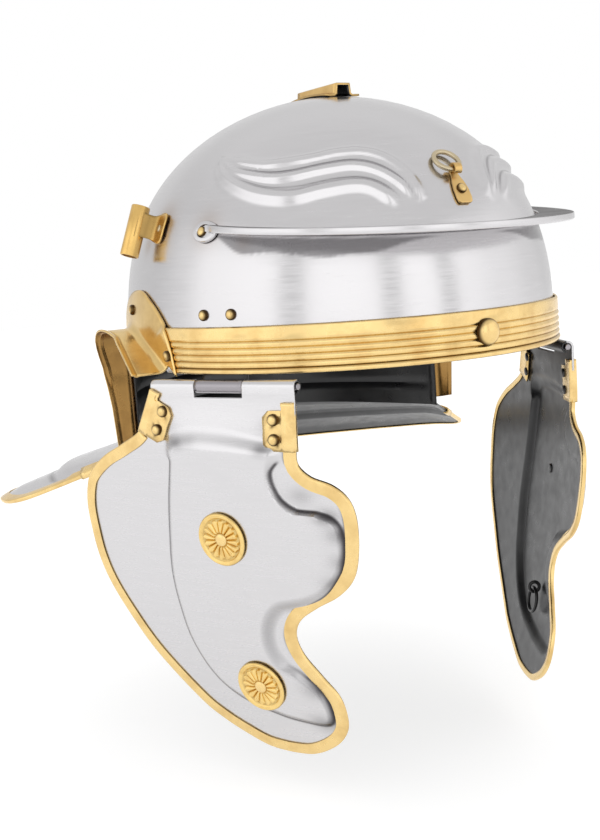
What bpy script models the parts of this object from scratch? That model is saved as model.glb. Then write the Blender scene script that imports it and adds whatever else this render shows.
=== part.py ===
"""A legionary's iron helmet with brass trim: bowl, neck guard, brow peak and hinged cheek plates.

Metres, +Z up. The face looks along -Y and the wearer's right ear is on -X. The origin is the
centre of the head opening, at the level of the rim under the brow band.
"""
import math

import bmesh
import bpy
from mathutils import Matrix, Vector

# Bowl
BOWL_HALF_WIDTH = 0.1015
BOWL_HALF_LENGTH = 0.113
BOWL_HEIGHT = 0.1222
BOWL_RISE_POWER = 2.87
BOWL_ROUND_POWER = 1.86
SKULL_WALL = 0.0016
GAP = 0.0003
CLOSE_FIT = 0.0004

# Ear openings, as fore and aft places from the middle of the bowl
EAR_FRONT = -0.013
EAR_REAR = 0.043
EAR_ARCH_RISE = 0.0185
EAR_COLLAR_REACH = 0.117
EAR_FOOT_REACH = 0.1
EAR_SHEET = 0.0009

# Nape and neck guard
NAPE_DROP_SIDE = 0.044
NAPE_DROP_BACK = 0.039
NAPE_RIB = 0.0016
GUARD_HALF_WIDTH = 0.1515
GUARD_WIDEST_AT = 0.092
GUARD_REACH = 0.165
GUARD_DROP_CORNER = 0.066
GUARD_DROP_BACK = 0.058
GUARD_CORNER_IN = 0.006
GUARD_CORNER_AHEAD = 0.011
GUARD_CORNER_UP = 0.0025
GUARD_ROUND_POWER = 2.6
GUARD_STEP = 0.002

# Brow band, its stud, and the brow peak
BAND_HEIGHT = 0.0203
BAND_SHEET = 0.0009
BAND_RIB = 0.0008
BAND_RIBS = 5
STUD_RADIUS = 0.0058
STUD_HEIGHT = 0.0032
PEAK_REACH = 0.0215
PEAK_STRIP = 0.0026
PEAK_THICKNESS = 0.003
PEAK_HEIGHT_FRONT = 0.0529
PEAK_HEIGHT_SIDE = 0.0623
PEAK_END_TURN = 69.8
PEAK_TAPER_POWER = 0.6
LUG_RADIUS = 0.005
LUG_THICKNESS = 0.0016

# Raised eyebrows
BROW_RIDGE_WIDTH = 0.0052
BROW_RIDGE_RISE = 0.0016
BROW_RIDGE_SINK = 0.0007

# Rivets
RIVET_RADIUS = 0.0025
RIVET_HEIGHT = 0.0017
LUG_RIVET_RADIUS = 0.0026
CLIP_RIVET_RADIUS = 0.0026
CLIP_RIVET_HEIGHT = 0.0019
HOOK_RIVET_RADIUS = 0.0023
HOOK_RIVET_HEIGHT = 0.0013
PLUME_RIVET_RADIUS = 0.0016
PLUME_RIVET_HEIGHT = 0.0009
HINGE_RIVET_HEIGHT_AT = 0.0255

# Crest box, crest hook and ring, plume tubes
CREST_BOX_FRONT = -0.0195
CREST_BOX_BACK = 0.015
CREST_BOX_HEIGHT = 0.0053
CREST_BOX_TOP_WIDTH = 0.008
CREST_BOX_FOOT = 0.006
CREST_SHEET = 0.0009
HOOK_TOP_AT = 0.0806
HOOK_BOTTOM_AT = 0.0645
HOOK_BOTTOM_CUT = 0.0012
HOOK_RIVET_AT = 0.0705
HOOK_SHOULDER_AT = 0.076
HOOK_WIDTH = 0.008
HOOK_NECK_WIDTH = 0.0036
HOOK_SHEET = 0.001
HOOK_LOOP_RADIUS = 0.0027
RING_RADIUS = 0.0058
RING_WIRE_RADIUS = 0.0011
PLUME_TUBE_RADIUS = 0.0043
PLUME_TUBE_WALL = 0.0007
PLUME_TUBE_LENGTH = 0.0235
PLUME_TUBE_AFT = 0.0079
PLUME_TUBE_AT = 0.0611
PLUME_TUBE_CLEAR = 0.0038
PLUME_TUBE_UPRIGHT = 0.2
PLUME_FLANGE_REACH = 0.0139
PLUME_FLANGE_HEIGHT = 0.014
PLUME_FLANGE_NECK = 0.009

# Cheek hinge: the pin's axis passes just outside the rim at this turn, beside the knuckle's middle
HINGE_TURN = 64.26
HINGE_OUTSIDE_RIM = 0.0008
HINGE_BELOW_RIM = 0.005
HINGE_YAW = 25.4
PIN_RADIUS = 0.0014
PIN_STICKS_OUT = 0.0008
ROLL_RADIUS = 0.003
KNUCKLE_START = 0.0249
KNUCKLE_END = 0.0495
LEAF_SHEET = 0.0012
LEAF_TOP_AT = 0.033
LEAF_BEHIND_WALL = 0.0008

# Cheek plates
CHEEK_HEIGHT = 0.172
CHEEK_WIDTH = 0.152
CHEEK_SHEET = 0.0013
CHEEK_STAND = 0.0026
CHEEK_SHOULDER = 0.03
CHEEK_CURL_RADIUS = 0.78
CHEEK_BEND_RADIUS = 0.667
CHEEK_BEND_MIDDLE = 0.045
CHEEK_HANG_SHARE = 0.03
CHEEK_PANEL_RISE = 0.003
CHEEK_PANEL_SLOPE = 0.003
CHEEK_BORDER = 0.007
CHEEK_FRONT_END = -0.0035
CHEEK_REAR_END = 0.077
KNUCKLE_SLOT_DEPTH = 0.0045

# Brass edging, clips and rosettes
EDGING_SHEET = 0.0008
EDGING_LEG = 0.0048
EDGING_FIT = 0.0005
CLIP_SHEET = 0.001
CLIP_LEG = 0.0155
CLIP_CUT = 0.0035
CLIP_TAB_LEG = 0.0045
CLIP_TAB_LENGTH = 0.005
FRONT_CLIP_TOP = 0.0105
FRONT_CLIP_BOTTOM = 0.027
REAR_CLIP_TOP = 0.0052
REAR_CLIP_BOTTOM = 0.0199
EDGING_BELOW_CLIP = 0.0014
NECK_CLIP_SHARE = 0.105
NECK_EDGING_STARTS = 0.5
NECK_CLIP_GAP_SHARE = 0.01
NECK_ROW_CLEAR_SHARE = 0.05
ROSETTE_RADIUS = 0.0132
ROSETTE_RIM = 0.0038
ROSETTE_HEIGHT = 0.0016
ROSETTE_PETALS = 16
ROSETTE_PETAL_RELIEF = 0.0006
ROSETTE_STUD_RADIUS = 0.003
ROSETTE_UPPER_BACK = 0.0419
ROSETTE_UPPER_DOWN = 0.0669
ROSETTE_LOWER_BACK = 0.0354
ROSETTE_LOWER_DOWN = 0.1373

# Tie ring inside each cheek plate
TIE_RING_RADIUS = 0.0062
TIE_WIRE_RADIUS = 0.0009
TIE_EYE_RADIUS = 0.0026
TIE_EYE_ABOVE_ROSETTE = 0.0088

# Ear arch: along is the share of the opening's length from the front, up of EAR_ARCH_RISE
EAR_ARCH = (
    (0.00, 0.00),
    (0.16, 0.34),
    (0.34, 0.64),
    (0.52, 0.88),
    (0.68, 1.00),
    (0.84, 0.92),
    (0.95, 0.58),
    (1.00, 0.00),
)

# Ear guard flange: aft of the opening's front as a share of its length, and height as a
# share of EAR_ARCH_RISE, one row for each row of EAR_ARCH
EAR_FLANGE = (
    (-0.170, 0.05),
    (-0.115, 0.66),
    (-0.020, 1.20),
    (0.180, 1.70),
    (0.430, 2.00),
    (0.770, 1.78),
    (1.020, 1.10),
    (1.120, 0.10),
)
EAR_LEG_SHARES = (0.33, 0.66, 0.93)
EAR_LEG_FLANGE = 1.12

# Nape: share of its drop, and share of NAPE_RIB that stands out there
NAPE_ROWS = ((0.27, 0.0), (0.38, 1.0), (0.49, 0.0), (0.62, 0.0), (0.73, 1.0), (0.84, 0.0), (1.0, 0.3))

# Bowl: heights of its rows as shares of BOWL_HEIGHT, crown first
BOWL_ROWS = (1.0, 0.98, 0.92, 0.82, 0.69, 0.54, 0.385, 0.25, 0.125, 0.0)

# Neck guard: share of the way out, share of the drop, share of GUARD_STEP raised
GUARD_ROWS = ((0.14, 0.24, 0.6), (0.34, 0.46, 1.0), (0.54, 0.65, 1.0), (0.6, 0.70, 0.0), (0.86, 0.90, 0.0),
              (1.0, 1.0, 0.0))

# Cheek plate: down is a share of CHEEK_HEIGHT; the plate's front edge, the raised panel's
# front and rear creases and the plate's rear edge are shares of CHEEK_WIDTH behind the pin's front end
CHEEK_ROWS = (
    # down, front, front_crease, rear_crease, rear
    (0.047, -0.016, 0.079, 0.421, 0.513),
    (0.116, 0.000, 0.082, 0.428, 0.551),
    (0.157, 0.010, 0.084, 0.437, 0.632),
    (0.192, 0.007, 0.093, 0.443, 0.717),
    (0.238, -0.092, 0.086, 0.452, 0.786),
    (0.267, -0.132, 0.062, 0.459, 0.806),
    (0.308, -0.149, -0.033, 0.467, 0.822),
    (0.366, -0.150, -0.104, 0.480, 0.834),
    (0.436, -0.137, -0.091, 0.495, 0.829),
    (0.483, -0.113, -0.067, 0.503, 0.821),
    (0.523, -0.064, 0.026, 0.507, 0.814),
    (0.558, 0.007, 0.145, 0.505, 0.793),
    (0.599, 0.071, 0.194, 0.501, 0.766),
    (0.645, 0.096, 0.214, 0.495, 0.737),
    (0.698, 0.082, 0.212, 0.474, 0.704),
    (0.756, 0.034, 0.158, 0.438, 0.648),
    (0.814, -0.016, 0.032, 0.382, 0.589),
    (0.884, -0.019, 0.030, 0.257, 0.503),
    (0.930, 0.001, 0.110, 0.240, 0.428),
    (0.965, 0.049, 0.140, 0.230, 0.349),
    (0.994, 0.132, 0.170, 0.215, 0.257),
)
CHEEK_PANEL_TOP_ROW = 3
CHEEK_PANEL_BOTTOM_ROW = 17

# Raised eyebrow ridges, left side: turn from the front as a share of a right angle,
# height as a share of BOWL_HEIGHT, front end to tip
BROW_RIDGES = (
    ((0.134, 0.561), (0.153, 0.637), (0.208, 0.701), (0.290, 0.729), (0.400, 0.722), (0.560, 0.709), (0.687, 0.727),
     (0.800, 0.762)),
    ((0.152, 0.545), (0.187, 0.610), (0.247, 0.660), (0.316, 0.681), (0.412, 0.675), (0.544, 0.660), (0.690, 0.687),
     (0.722, 0.704)),
    ((0.197, 0.528), (0.230, 0.572), (0.289, 0.614), (0.416, 0.609), (0.544, 0.596), (0.633, 0.614), (0.700, 0.655),
     (0.776, 0.716)),
)

SIDES = (("right", -1.0), ("left", 1.0))
METALS = {
    "steel": ((0.62, 0.62, 0.65, 1.0), 0.28),
    "brass": ((0.80, 0.58, 0.24, 1.0), 0.30),
    "dark_steel": ((0.05, 0.05, 0.055, 1.0), 0.45),
}


def clear_scene():
    for thing in list(bpy.data.objects):
        bpy.data.objects.remove(thing, do_unlink=True)


def metal(kind):
    """The Principled material of one of the metals, made once."""
    ready = bpy.data.materials.get(kind)
    if ready:
        return ready
    colour, roughness = METALS[kind]
    ready = bpy.data.materials.new(kind)
    ready.use_nodes = True
    shader = ready.node_tree.nodes["Principled BSDF"]
    shader.inputs["Base Color"].default_value = colour
    shader.inputs["Metallic"].default_value = 1.0
    shader.inputs["Roughness"].default_value = roughness
    return ready


def piece(name, shape, kind, closed=True):
    """Turns a bmesh into a named object; a closed one gets its faces turned outwards."""
    if closed:
        bmesh.ops.recalc_face_normals(shape, faces=shape.faces)
    mesh = bpy.data.meshes.new(name)
    shape.to_mesh(mesh)
    shape.free()
    mesh.materials.append(metal(kind))
    mesh.shade_smooth()
    mesh.set_sharp_from_angle(angle=math.radians(30))
    thing = bpy.data.objects.new(name, mesh)
    bpy.context.collection.objects.link(thing)
    return thing


def thicken(thing, thickness):
    """Gives a drawn sheet its thickness, behind the face that was drawn."""
    wall = thing.modifiers.new("Wall", "SOLIDIFY")
    wall.thickness = thickness
    wall.offset = -1.0
    wall.use_even_offset = True


def join_solid(thing, other, operation="UNION"):
    """Joins or cuts one solid with another by an exact Boolean, and hides the other."""
    other.hide_render = True
    other.display_type = "WIRE"
    step = thing.modifiers.new(operation.title(), "BOOLEAN")
    step.operation = operation
    step.solver = "EXACT"
    step.object = other


def draped_grid(across, down, place):
    """A grid of faces laid where place(column, row) says; None leaves that corner out."""
    grid = bmesh.new()
    bmesh.ops.create_grid(grid, x_segments=across, y_segments=down, size=1.0)
    spare = []
    for corner in grid.verts:
        column = round((corner.co.x + 1.0) * across / 2)
        row = round((1.0 - corner.co.y) * down / 2)
        spot = place(column, row)
        if spot is None:
            spare.append(corner)
        else:
            corner.co = spot
    bmesh.ops.delete(grid, geom=spare, context="VERTS")
    bmesh.ops.remove_doubles(grid, verts=grid.verts, dist=0.00001)
    return grid


def lofted(sections, closed=False):
    """A solid through rings of points, capped at both ends unless its ends meet."""
    solid = bmesh.new()
    rings = [[solid.verts.new(spot) for spot in section] for section in sections]
    pairs = list(zip(rings, rings[1:]))
    if closed:
        pairs.append((rings[-1], rings[0]))
    for ring, following in pairs:
        count = len(ring)
        for place in range(count):
            after = (place + 1) % count
            solid.faces.new((ring[place], ring[after], following[after], following[place]))
    if not closed:
        solid.faces.new(rings[0])
        solid.faces.new(rings[-1])
    return solid


def turned(profile, sides, middle, axis):
    """A solid of revolution: profile rows are (radius, height) along the axis from the middle."""
    toward = axis.normalized()
    aside = toward.orthogonal().normalized()
    across = toward.cross(aside)
    solid = bmesh.new()
    rings = []
    for radius, height in profile:
        if radius == 0.0:
            rings.append([solid.verts.new(middle + toward * height)])
            continue
        ring = []
        for side in range(sides):
            angle = 2 * math.pi * side / sides
            spoke = aside * math.cos(angle) + across * math.sin(angle)
            ring.append(solid.verts.new(middle + spoke * radius + toward * height))
        rings.append(ring)
    for ring, following in zip(rings, rings[1:]):
        for side in range(sides):
            after = (side + 1) % sides
            if len(ring) == 1:
                solid.faces.new((ring[0], following[side], following[after]))
            elif len(following) == 1:
                solid.faces.new((ring[side], ring[after], following[0]))
            else:
                solid.faces.new((ring[side], ring[after], following[after], following[side]))
    for end in (rings[0], rings[-1]):
        if len(end) > 1:
            solid.faces.new(end)
    return solid


def rivet(name, middle, axis, radius=RIVET_RADIUS, height=RIVET_HEIGHT, kind="brass", sides=8):
    """A domed rivet head seated on the sheet that it holds."""
    profile = ((radius, 0.0), (radius * 0.8, height * 0.68), (0.0, height))
    return piece(name, turned(profile, sides, Vector(middle), Vector(axis)), kind)


def smooth_share(value):
    share = min(max(value, 0.0), 1.0)
    return share * share * (3.0 - 2.0 * share)


def bowl_share(height):
    """How wide the bowl is at a height, as a share of its rim."""
    rise = min(max(height / BOWL_HEIGHT, 0.0), 1.0)
    return max(1.0 - rise ** BOWL_RISE_POWER, 0.0) ** (1.0 / BOWL_ROUND_POWER)


def bowl_normal(turn, height):
    """The outward direction of the bowl, at a turn in degrees from the front."""
    share = bowl_share(height)
    angle = math.radians(turn)
    level = Vector((share * math.sin(angle) / BOWL_HALF_WIDTH, -share * math.cos(angle) / BOWL_HALF_LENGTH, 0.0))
    if height <= 0.0:
        return level.normalized()
    rise = height / BOWL_HEIGHT
    steep = BOWL_RISE_POWER / (BOWL_ROUND_POWER * BOWL_HEIGHT) * rise ** (BOWL_RISE_POWER - 1.0)
    level.z = steep * max(1.0 - rise ** BOWL_RISE_POWER, 0.0) ** (2.0 / BOWL_ROUND_POWER - 1.0)
    return level.normalized()


def bowl_point(turn, height, stand=0.0):
    """A point that stands off the bowl's outer face; a positive turn is the wearer's left."""
    share = bowl_share(height)
    angle = math.radians(turn)
    spot = Vector((BOWL_HALF_WIDTH * share * math.sin(angle), -BOWL_HALF_LENGTH * share * math.cos(angle), height))
    return spot + bowl_normal(turn, height) * stand


def turn_at(aft, height=0.0):
    """The turn at which the bowl is this far aft of its middle."""
    return math.degrees(math.acos(max(-1.0, min(1.0, -aft / (BOWL_HALF_LENGTH * bowl_share(height))))))


EAR_FRONT_TURN = turn_at(EAR_FRONT)
EAR_REAR_TURN = turn_at(EAR_REAR)


def ear_spot(along, up):
    """Fore and aft place and height of a row of the ear tables."""
    return EAR_FRONT + along * (EAR_REAR - EAR_FRONT), up * EAR_ARCH_RISE


def nape_foot(turn):
    """Where the nape turns out into the neck guard."""
    back = (turn - EAR_REAR_TURN) / (180.0 - EAR_REAR_TURN)
    return -(NAPE_DROP_SIDE + (NAPE_DROP_BACK - NAPE_DROP_SIDE) * smooth_share(back))


def guard_edge(back):
    """The neck guard's outline, from its front corner (0) to the middle of its back (1)."""
    if back <= 0.0:
        return Vector((GUARD_HALF_WIDTH - GUARD_CORNER_IN, GUARD_WIDEST_AT - GUARD_CORNER_AHEAD,
                       GUARD_CORNER_UP - GUARD_DROP_CORNER))
    angle = math.radians(90.0 * min(back, 1.0))
    power = 2.0 / GUARD_ROUND_POWER
    out = GUARD_HALF_WIDTH * max(math.cos(angle), 0.0) ** power
    aft = GUARD_WIDEST_AT + (GUARD_REACH - GUARD_WIDEST_AT) * math.sin(angle) ** power
    drop = GUARD_DROP_CORNER + (GUARD_DROP_BACK - GUARD_DROP_CORNER) * math.sin(angle)
    return Vector((out, aft, -drop))


# Columns of the skull: turn, height of the rim, and how far round the nape
FRONT_STEPS = 10
BACK_STEPS = 8


def skull_columns():
    half = [(EAR_FRONT_TURN * step / FRONT_STEPS, 0.0, None) for step in range(FRONT_STEPS)]
    for along, up in EAR_ARCH:
        aft, height = ear_spot(along, up)
        half.append((turn_at(aft), height, 0.0 if along == 1.0 else None))
    for step in range(1, BACK_STEPS + 1):
        back = step / BACK_STEPS
        half.append((EAR_REAR_TURN + (180.0 - EAR_REAR_TURN) * back, 0.0, back))
    other = [(-turn, rim, back) for turn, rim, back in half[:0:-1]]
    return other + half


def guard_spot(turn, back, row):
    """A point of the neck guard's top face, left or right."""
    side = 1.0 if turn >= 0.0 else -1.0
    out, drop, raised = GUARD_ROWS[row]
    root = bowl_point(abs(turn), nape_foot(abs(turn)), NAPE_RIB * NAPE_ROWS[-1][1] * min(1.0, back * 3))
    edge_share = 0.0 if back <= 0.0 else max(0.001, (back * BACK_STEPS - 1) / (BACK_STEPS - 1))
    edge = guard_edge(edge_share)
    spot = root.lerp(edge, out)
    spot.z = root.z + (edge.z - root.z) * (drop if back > 0.0 else out)
    spot.z += GUARD_STEP * raised * smooth_share(back * 3.0)
    spot.x *= side
    return spot


def skull_place(column, row):
    """Row 0 is the crown; then the bowl, the nape and the neck guard."""
    turn, rim, back = COLUMNS[column]
    if row < len(BOWL_ROWS):
        return bowl_point(turn, rim + (BOWL_HEIGHT - rim) * BOWL_ROWS[row])
    if back is None:
        return None
    row -= len(BOWL_ROWS)
    if row < len(NAPE_ROWS):
        down, rib = NAPE_ROWS[row]
        return bowl_point(turn, nape_foot(abs(turn)) * down, NAPE_RIB * rib * min(1.0, back * 3))
    return guard_spot(turn, back, row - len(NAPE_ROWS))


COLUMNS = skull_columns()


def make_skull():
    """Bowl, nape and neck guard raised from one sheet of iron."""
    rows = len(BOWL_ROWS) - 1 + len(NAPE_ROWS) + len(GUARD_ROWS)
    sheet = draped_grid(len(COLUMNS) - 1, rows, skull_place)
    skull = piece("skull", sheet, "steel", closed=False)
    thicken(skull, SKULL_WALL)
    for side_name, side in SIDES:
        for count, ridge in enumerate(BROW_RIDGES):
            join_solid(skull, make_brow_ridge(f"brow_ridge_{side_name}_{count}", ridge, side))
    return skull


def make_brow_ridge(name, ridge, side):
    """One raised ridge of an eyebrow, pointed at both ends and sunk into the skull's face."""
    spots = ridge
    sections = []
    for count, (turn_share, height_share) in enumerate(spots):
        turn = 90.0 * turn_share * side
        height = BOWL_HEIGHT * height_share
        middle = bowl_point(turn, height)
        out = bowl_normal(turn, height)
        before = spots[max(count - 1, 0)]
        after = spots[min(count + 1, len(spots) - 1)]
        along = bowl_point(90.0 * after[0] * side, BOWL_HEIGHT * after[1]) - bowl_point(
            90.0 * before[0] * side, BOWL_HEIGHT * before[1])
        across = along.cross(out).normalized()
        swell = math.sin(math.pi * (count + 0.6) / (len(spots) + 0.2)) ** 0.5
        half = 0.5 * BROW_RIDGE_WIDTH * swell
        rise = BROW_RIDGE_RISE * swell
        sections.append((
            middle - across * half - out * BROW_RIDGE_SINK,
            middle - across * half * 0.35 + out * rise,
            middle + across * half * 0.35 + out * rise,
            middle + across * half - out * BROW_RIDGE_SINK,
        ))
    return piece(name, lofted(sections), "steel")


def band_end(height):
    """The band stops just short of the ear guard's slanted front edge."""
    spots = [ear_spot(*row) for row in EAR_FLANGE]
    level = max(spots[0][1], min(height, spots[3][1]))
    for low, high in zip(spots, spots[1:]):
        if low[1] <= level <= high[1]:
            aft = low[0] + (high[0] - low[0]) * (level - low[1]) / (high[1] - low[1])
            return turn_at(aft) - math.degrees(3.0 * GAP / BOWL_HALF_WIDTH)
    return turn_at(spots[0][0])


def band_profile():
    """Height up the band and stand off the skull, round the section."""
    pitch = BAND_HEIGHT / (BAND_RIBS + 1.5)
    outer = [(GAP, BAND_SHEET + BAND_RIB)]
    for rib in range(BAND_RIBS):
        foot = (rib + 0.75) * pitch
        outer.append((foot, BAND_SHEET))
        outer.append((foot + 0.45 * pitch, BAND_SHEET + BAND_RIB))
    outer.append(((BAND_RIBS + 0.75) * pitch, BAND_SHEET))
    outer.append((BAND_HEIGHT, BAND_SHEET))
    rows = [(height, CLOSE_FIT + stand) for height, stand in outer]
    bend = ear_spot(*EAR_FLANGE[1])[1]
    return [(GAP, CLOSE_FIT)] + rows + [(BAND_HEIGHT, CLOSE_FIT), (bend, CLOSE_FIT)]


def make_brow_band():
    profile = band_profile()
    steps = 20
    sections = []
    for step in range(steps + 1):
        share = 2.0 * step / steps - 1.0
        sections.append([bowl_point(band_end(height) * share, height, stand) for height, stand in profile])
    piece("brow_band", lofted(sections), "brass")
    stand = CLOSE_FIT + GAP + BAND_SHEET + BAND_RIB
    middle = bowl_point(0.0, BAND_HEIGHT * 0.53, stand)
    rivet("brow_stud", middle, (0, -1, 0), STUD_RADIUS, STUD_HEIGHT, sides=12)


def make_brow_peak():
    """A thick crescent of iron across the brow, riveted on through a round lug at each end."""
    steps = 20
    sections = []
    for step in range(steps + 1):
        turn = PEAK_END_TURN * (2.0 * step / steps - 1.0)
        share = abs(turn) / PEAK_END_TURN
        middle = PEAK_HEIGHT_FRONT + (PEAK_HEIGHT_SIDE - PEAK_HEIGHT_FRONT) * share ** 2
        reach = max(PEAK_STRIP, PEAK_REACH * max(math.cos(0.5 * math.pi * share), 0.0) ** PEAK_TAPER_POWER)
        level = bowl_normal(turn, 0.0)
        under = bowl_point(turn, middle - 0.5 * PEAK_THICKNESS, CLOSE_FIT)
        over = bowl_point(turn, middle + 0.5 * PEAK_THICKNESS, CLOSE_FIT)
        front = under + level * reach
        sections.append((under, front, Vector((front.x, front.y, over.z)), over))
    peak = piece("brow_peak", lofted(sections), "steel")
    for side_name, side in SIDES:
        turn = PEAK_END_TURN * side
        out = bowl_normal(turn, PEAK_HEIGHT_SIDE)
        seat = bowl_point(turn, PEAK_HEIGHT_SIDE, CLOSE_FIT)
        profile = ((LUG_RADIUS, 0.0), (LUG_RADIUS, LUG_THICKNESS))
        lug = piece(f"peak_lug_{side_name}", turned(profile, 14, seat, out), "steel")
        join_solid(peak, lug)
        rivet_turn = turn + side * math.degrees(0.6 * LUG_RADIUS / BOWL_HALF_WIDTH)
        top = bowl_point(rivet_turn, PEAK_HEIGHT_SIDE, CLOSE_FIT + LUG_THICKNESS + GAP)
        rivet(f"peak_rivet_{side_name}", top, out, LUG_RIVET_RADIUS, RIVET_HEIGHT)


def ear_guard_rows():
    """Along the ear guard: flange edge, opening's edge, and how far the lip reaches out."""
    rows = []
    for (along, up), (flange_along, flange_up) in zip(EAR_ARCH, EAR_FLANGE):
        rows.append((ear_spot(flange_along, flange_up), ear_spot(along, up), EAR_COLLAR_REACH))
    foot = nape_foot(EAR_REAR_TURN)
    for share in EAR_LEG_SHARES:
        reach = EAR_COLLAR_REACH + (EAR_FOOT_REACH - EAR_COLLAR_REACH) * share
        level = foot * share
        flange_aft = ear_spot(EAR_LEG_FLANGE, 0.0)[0]
        rows.append(((flange_aft, level), (EAR_REAR, level), reach))
    return rows


def make_ear_guard(side_name, side):
    """A brass sheet raised into a collar round the ear, riveted to the skull by its flange."""
    rows = ear_guard_rows()
    stand = CLOSE_FIT + EAR_SHEET

    def place(column, row):
        flange, root, reach = rows[column]
        if row <= 2:
            share = row / 2
            aft = flange[0] + (root[0] - flange[0]) * share
            height = flange[1] + (root[1] - flange[1]) * share
            spot = bowl_point(turn_at(aft, height), height, stand)
        else:
            spot = bowl_point(turn_at(root[0], root[1]), root[1], stand)
            if row == 3:
                spot.x = spot.x + (reach - spot.x) * 0.55
            else:
                spot.x = reach
        spot.x *= side
        return spot

    sheet = draped_grid(len(rows) - 1, 4, place)
    if side < 0:
        bmesh.ops.reverse_faces(sheet, faces=sheet.faces)
    guard = piece(f"ear_guard_{side_name}", sheet, "brass", closed=False)
    thicken(guard, EAR_SHEET)
    for label, along, up in (("front", -0.06, 0.42), ("top", 0.62, 1.5)):
        aft, height = ear_spot(along, up)
        turn = turn_at(aft, height) * side
        seat = bowl_point(turn, height, stand + GAP)
        rivet(f"ear_rivet_{side_name}_{label}", seat, bowl_normal(turn, height))


def edge_strip(name, edge, inside, outward, thickness):
    """A folded strip round a sheet's edge: edge points, points inside the sheet and its outward side."""
    sections = []
    last = len(edge) - 1
    for count, spot in enumerate(edge):
        before = edge[max(count - 1, 0)]
        after = edge[min(count + 1, last)]
        along = (after - before).normalized()
        inward = inside[count] - spot
        inward = (inward - along * inward.dot(along)).normalized()
        up = along.cross(inward).normalized()
        if up.dot(outward[count]) < 0.0:
            up = -up
        spread = 1.0
        if 0 < count < last:
            bend = (spot - before).angle(after - spot, 0.0)
            spread = min(1.25, 1.0 / math.cos(0.5 * bend))
        lip = -(GAP + EDGING_SHEET) * spread
        slot = -GAP * spread
        leg = EDGING_LEG * spread
        top = EDGING_FIT
        under = -thickness - EDGING_FIT
        outline = (
            (lip, top + EDGING_SHEET), (leg, top + EDGING_SHEET), (leg, top), (slot, top),
            (slot, under), (leg, under), (leg, under - EDGING_SHEET), (lip, under - EDGING_SHEET),
        )
        sections.append([spot + inward * reach + up * rise for reach, rise in outline])
    return piece(name, lofted(sections), "brass")


def guard_between(column, out):
    """A point of the neck guard's top face at a share of the way out, between two of its rows."""
    for row in range(len(GUARD_ROWS) - 1):
        low, high = GUARD_ROWS[row][0], GUARD_ROWS[row + 1][0]
        if low <= out <= high:
            share = (out - low) / (high - low)
            return guard_spot(*column, row).lerp(guard_spot(*column, row + 1), share)
    return guard_spot(*column, len(GUARD_ROWS) - 1)


def make_neck_trim():
    """Brass edging round the neck guard, held at each front end by a small folded clip."""
    last = len(GUARD_ROWS) - 1
    left = [(turn, back) for turn, rim, back in COLUMNS if back is not None and turn > 0.0]
    first_row = NECK_EDGING_STARTS + NECK_ROW_CLEAR_SHARE
    starts = [NECK_EDGING_STARTS] + [row[0] for row in GUARD_ROWS[:-1] if row[0] > first_row]
    edge = [guard_between(left[0], out) for out in starts]
    inside = [guard_between(left[1], out) for out in starts]
    for column in left:
        edge.append(guard_spot(*column, last))
        inside.append(guard_spot(*column, last - 1))
    inside[len(starts)] = guard_spot(*left[1], last - 1)
    mirror = Vector((-1.0, 1.0, 1.0))
    edge_path = [spot * mirror for spot in edge[:-1]] + edge[::-1]
    inside_path = [spot * mirror for spot in inside[:-1]] + inside[::-1]
    up = [Vector((0, 0, 1))] * len(edge_path)
    edge_strip("neck_edging", edge_path, inside_path, up, SKULL_WALL)
    clip_shares = (NECK_CLIP_SHARE, 0.5 * NECK_CLIP_SHARE, NECK_CLIP_GAP_SHARE)
    clip_outs = [NECK_EDGING_STARTS - share for share in clip_shares]
    for side_name, side in SIDES:
        flip = Vector((side, 1.0, 1.0))
        path = [guard_between(left[0], out) * flip for out in clip_outs]
        within = [guard_between(left[1], out) * flip for out in clip_outs]
        edge_strip(f"neck_clip_{side_name}", path, within, up[:3], SKULL_WALL)


def make_crest_box():
    """A hat-shaped brass strip on the crown: the slot that a crest's foot slides into."""
    floor = BOWL_HEIGHT + GAP
    half = 0.5 * CREST_BOX_TOP_WIDTH
    inner = half - CREST_SHEET
    top = BOWL_HEIGHT + CREST_BOX_HEIGHT
    foot = half + CREST_BOX_FOOT
    outline = (
        (-foot, floor), (-inner - CREST_SHEET * 0.3, floor), (-inner, top - CREST_SHEET), (inner, top - CREST_SHEET),
        (inner + CREST_SHEET * 0.3, floor), (foot, floor), (foot, floor + CREST_SHEET),
        (half + CREST_SHEET * 0.6, floor + CREST_SHEET), (half, top), (-half, top),
        (-half - CREST_SHEET * 0.6, floor + CREST_SHEET), (-foot, floor + CREST_SHEET),
    )
    sections = [[Vector((x, aft, z)) for x, z in outline] for aft in (CREST_BOX_FRONT, CREST_BOX_BACK)]
    piece("crest_box", lofted(sections), "brass")


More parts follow.
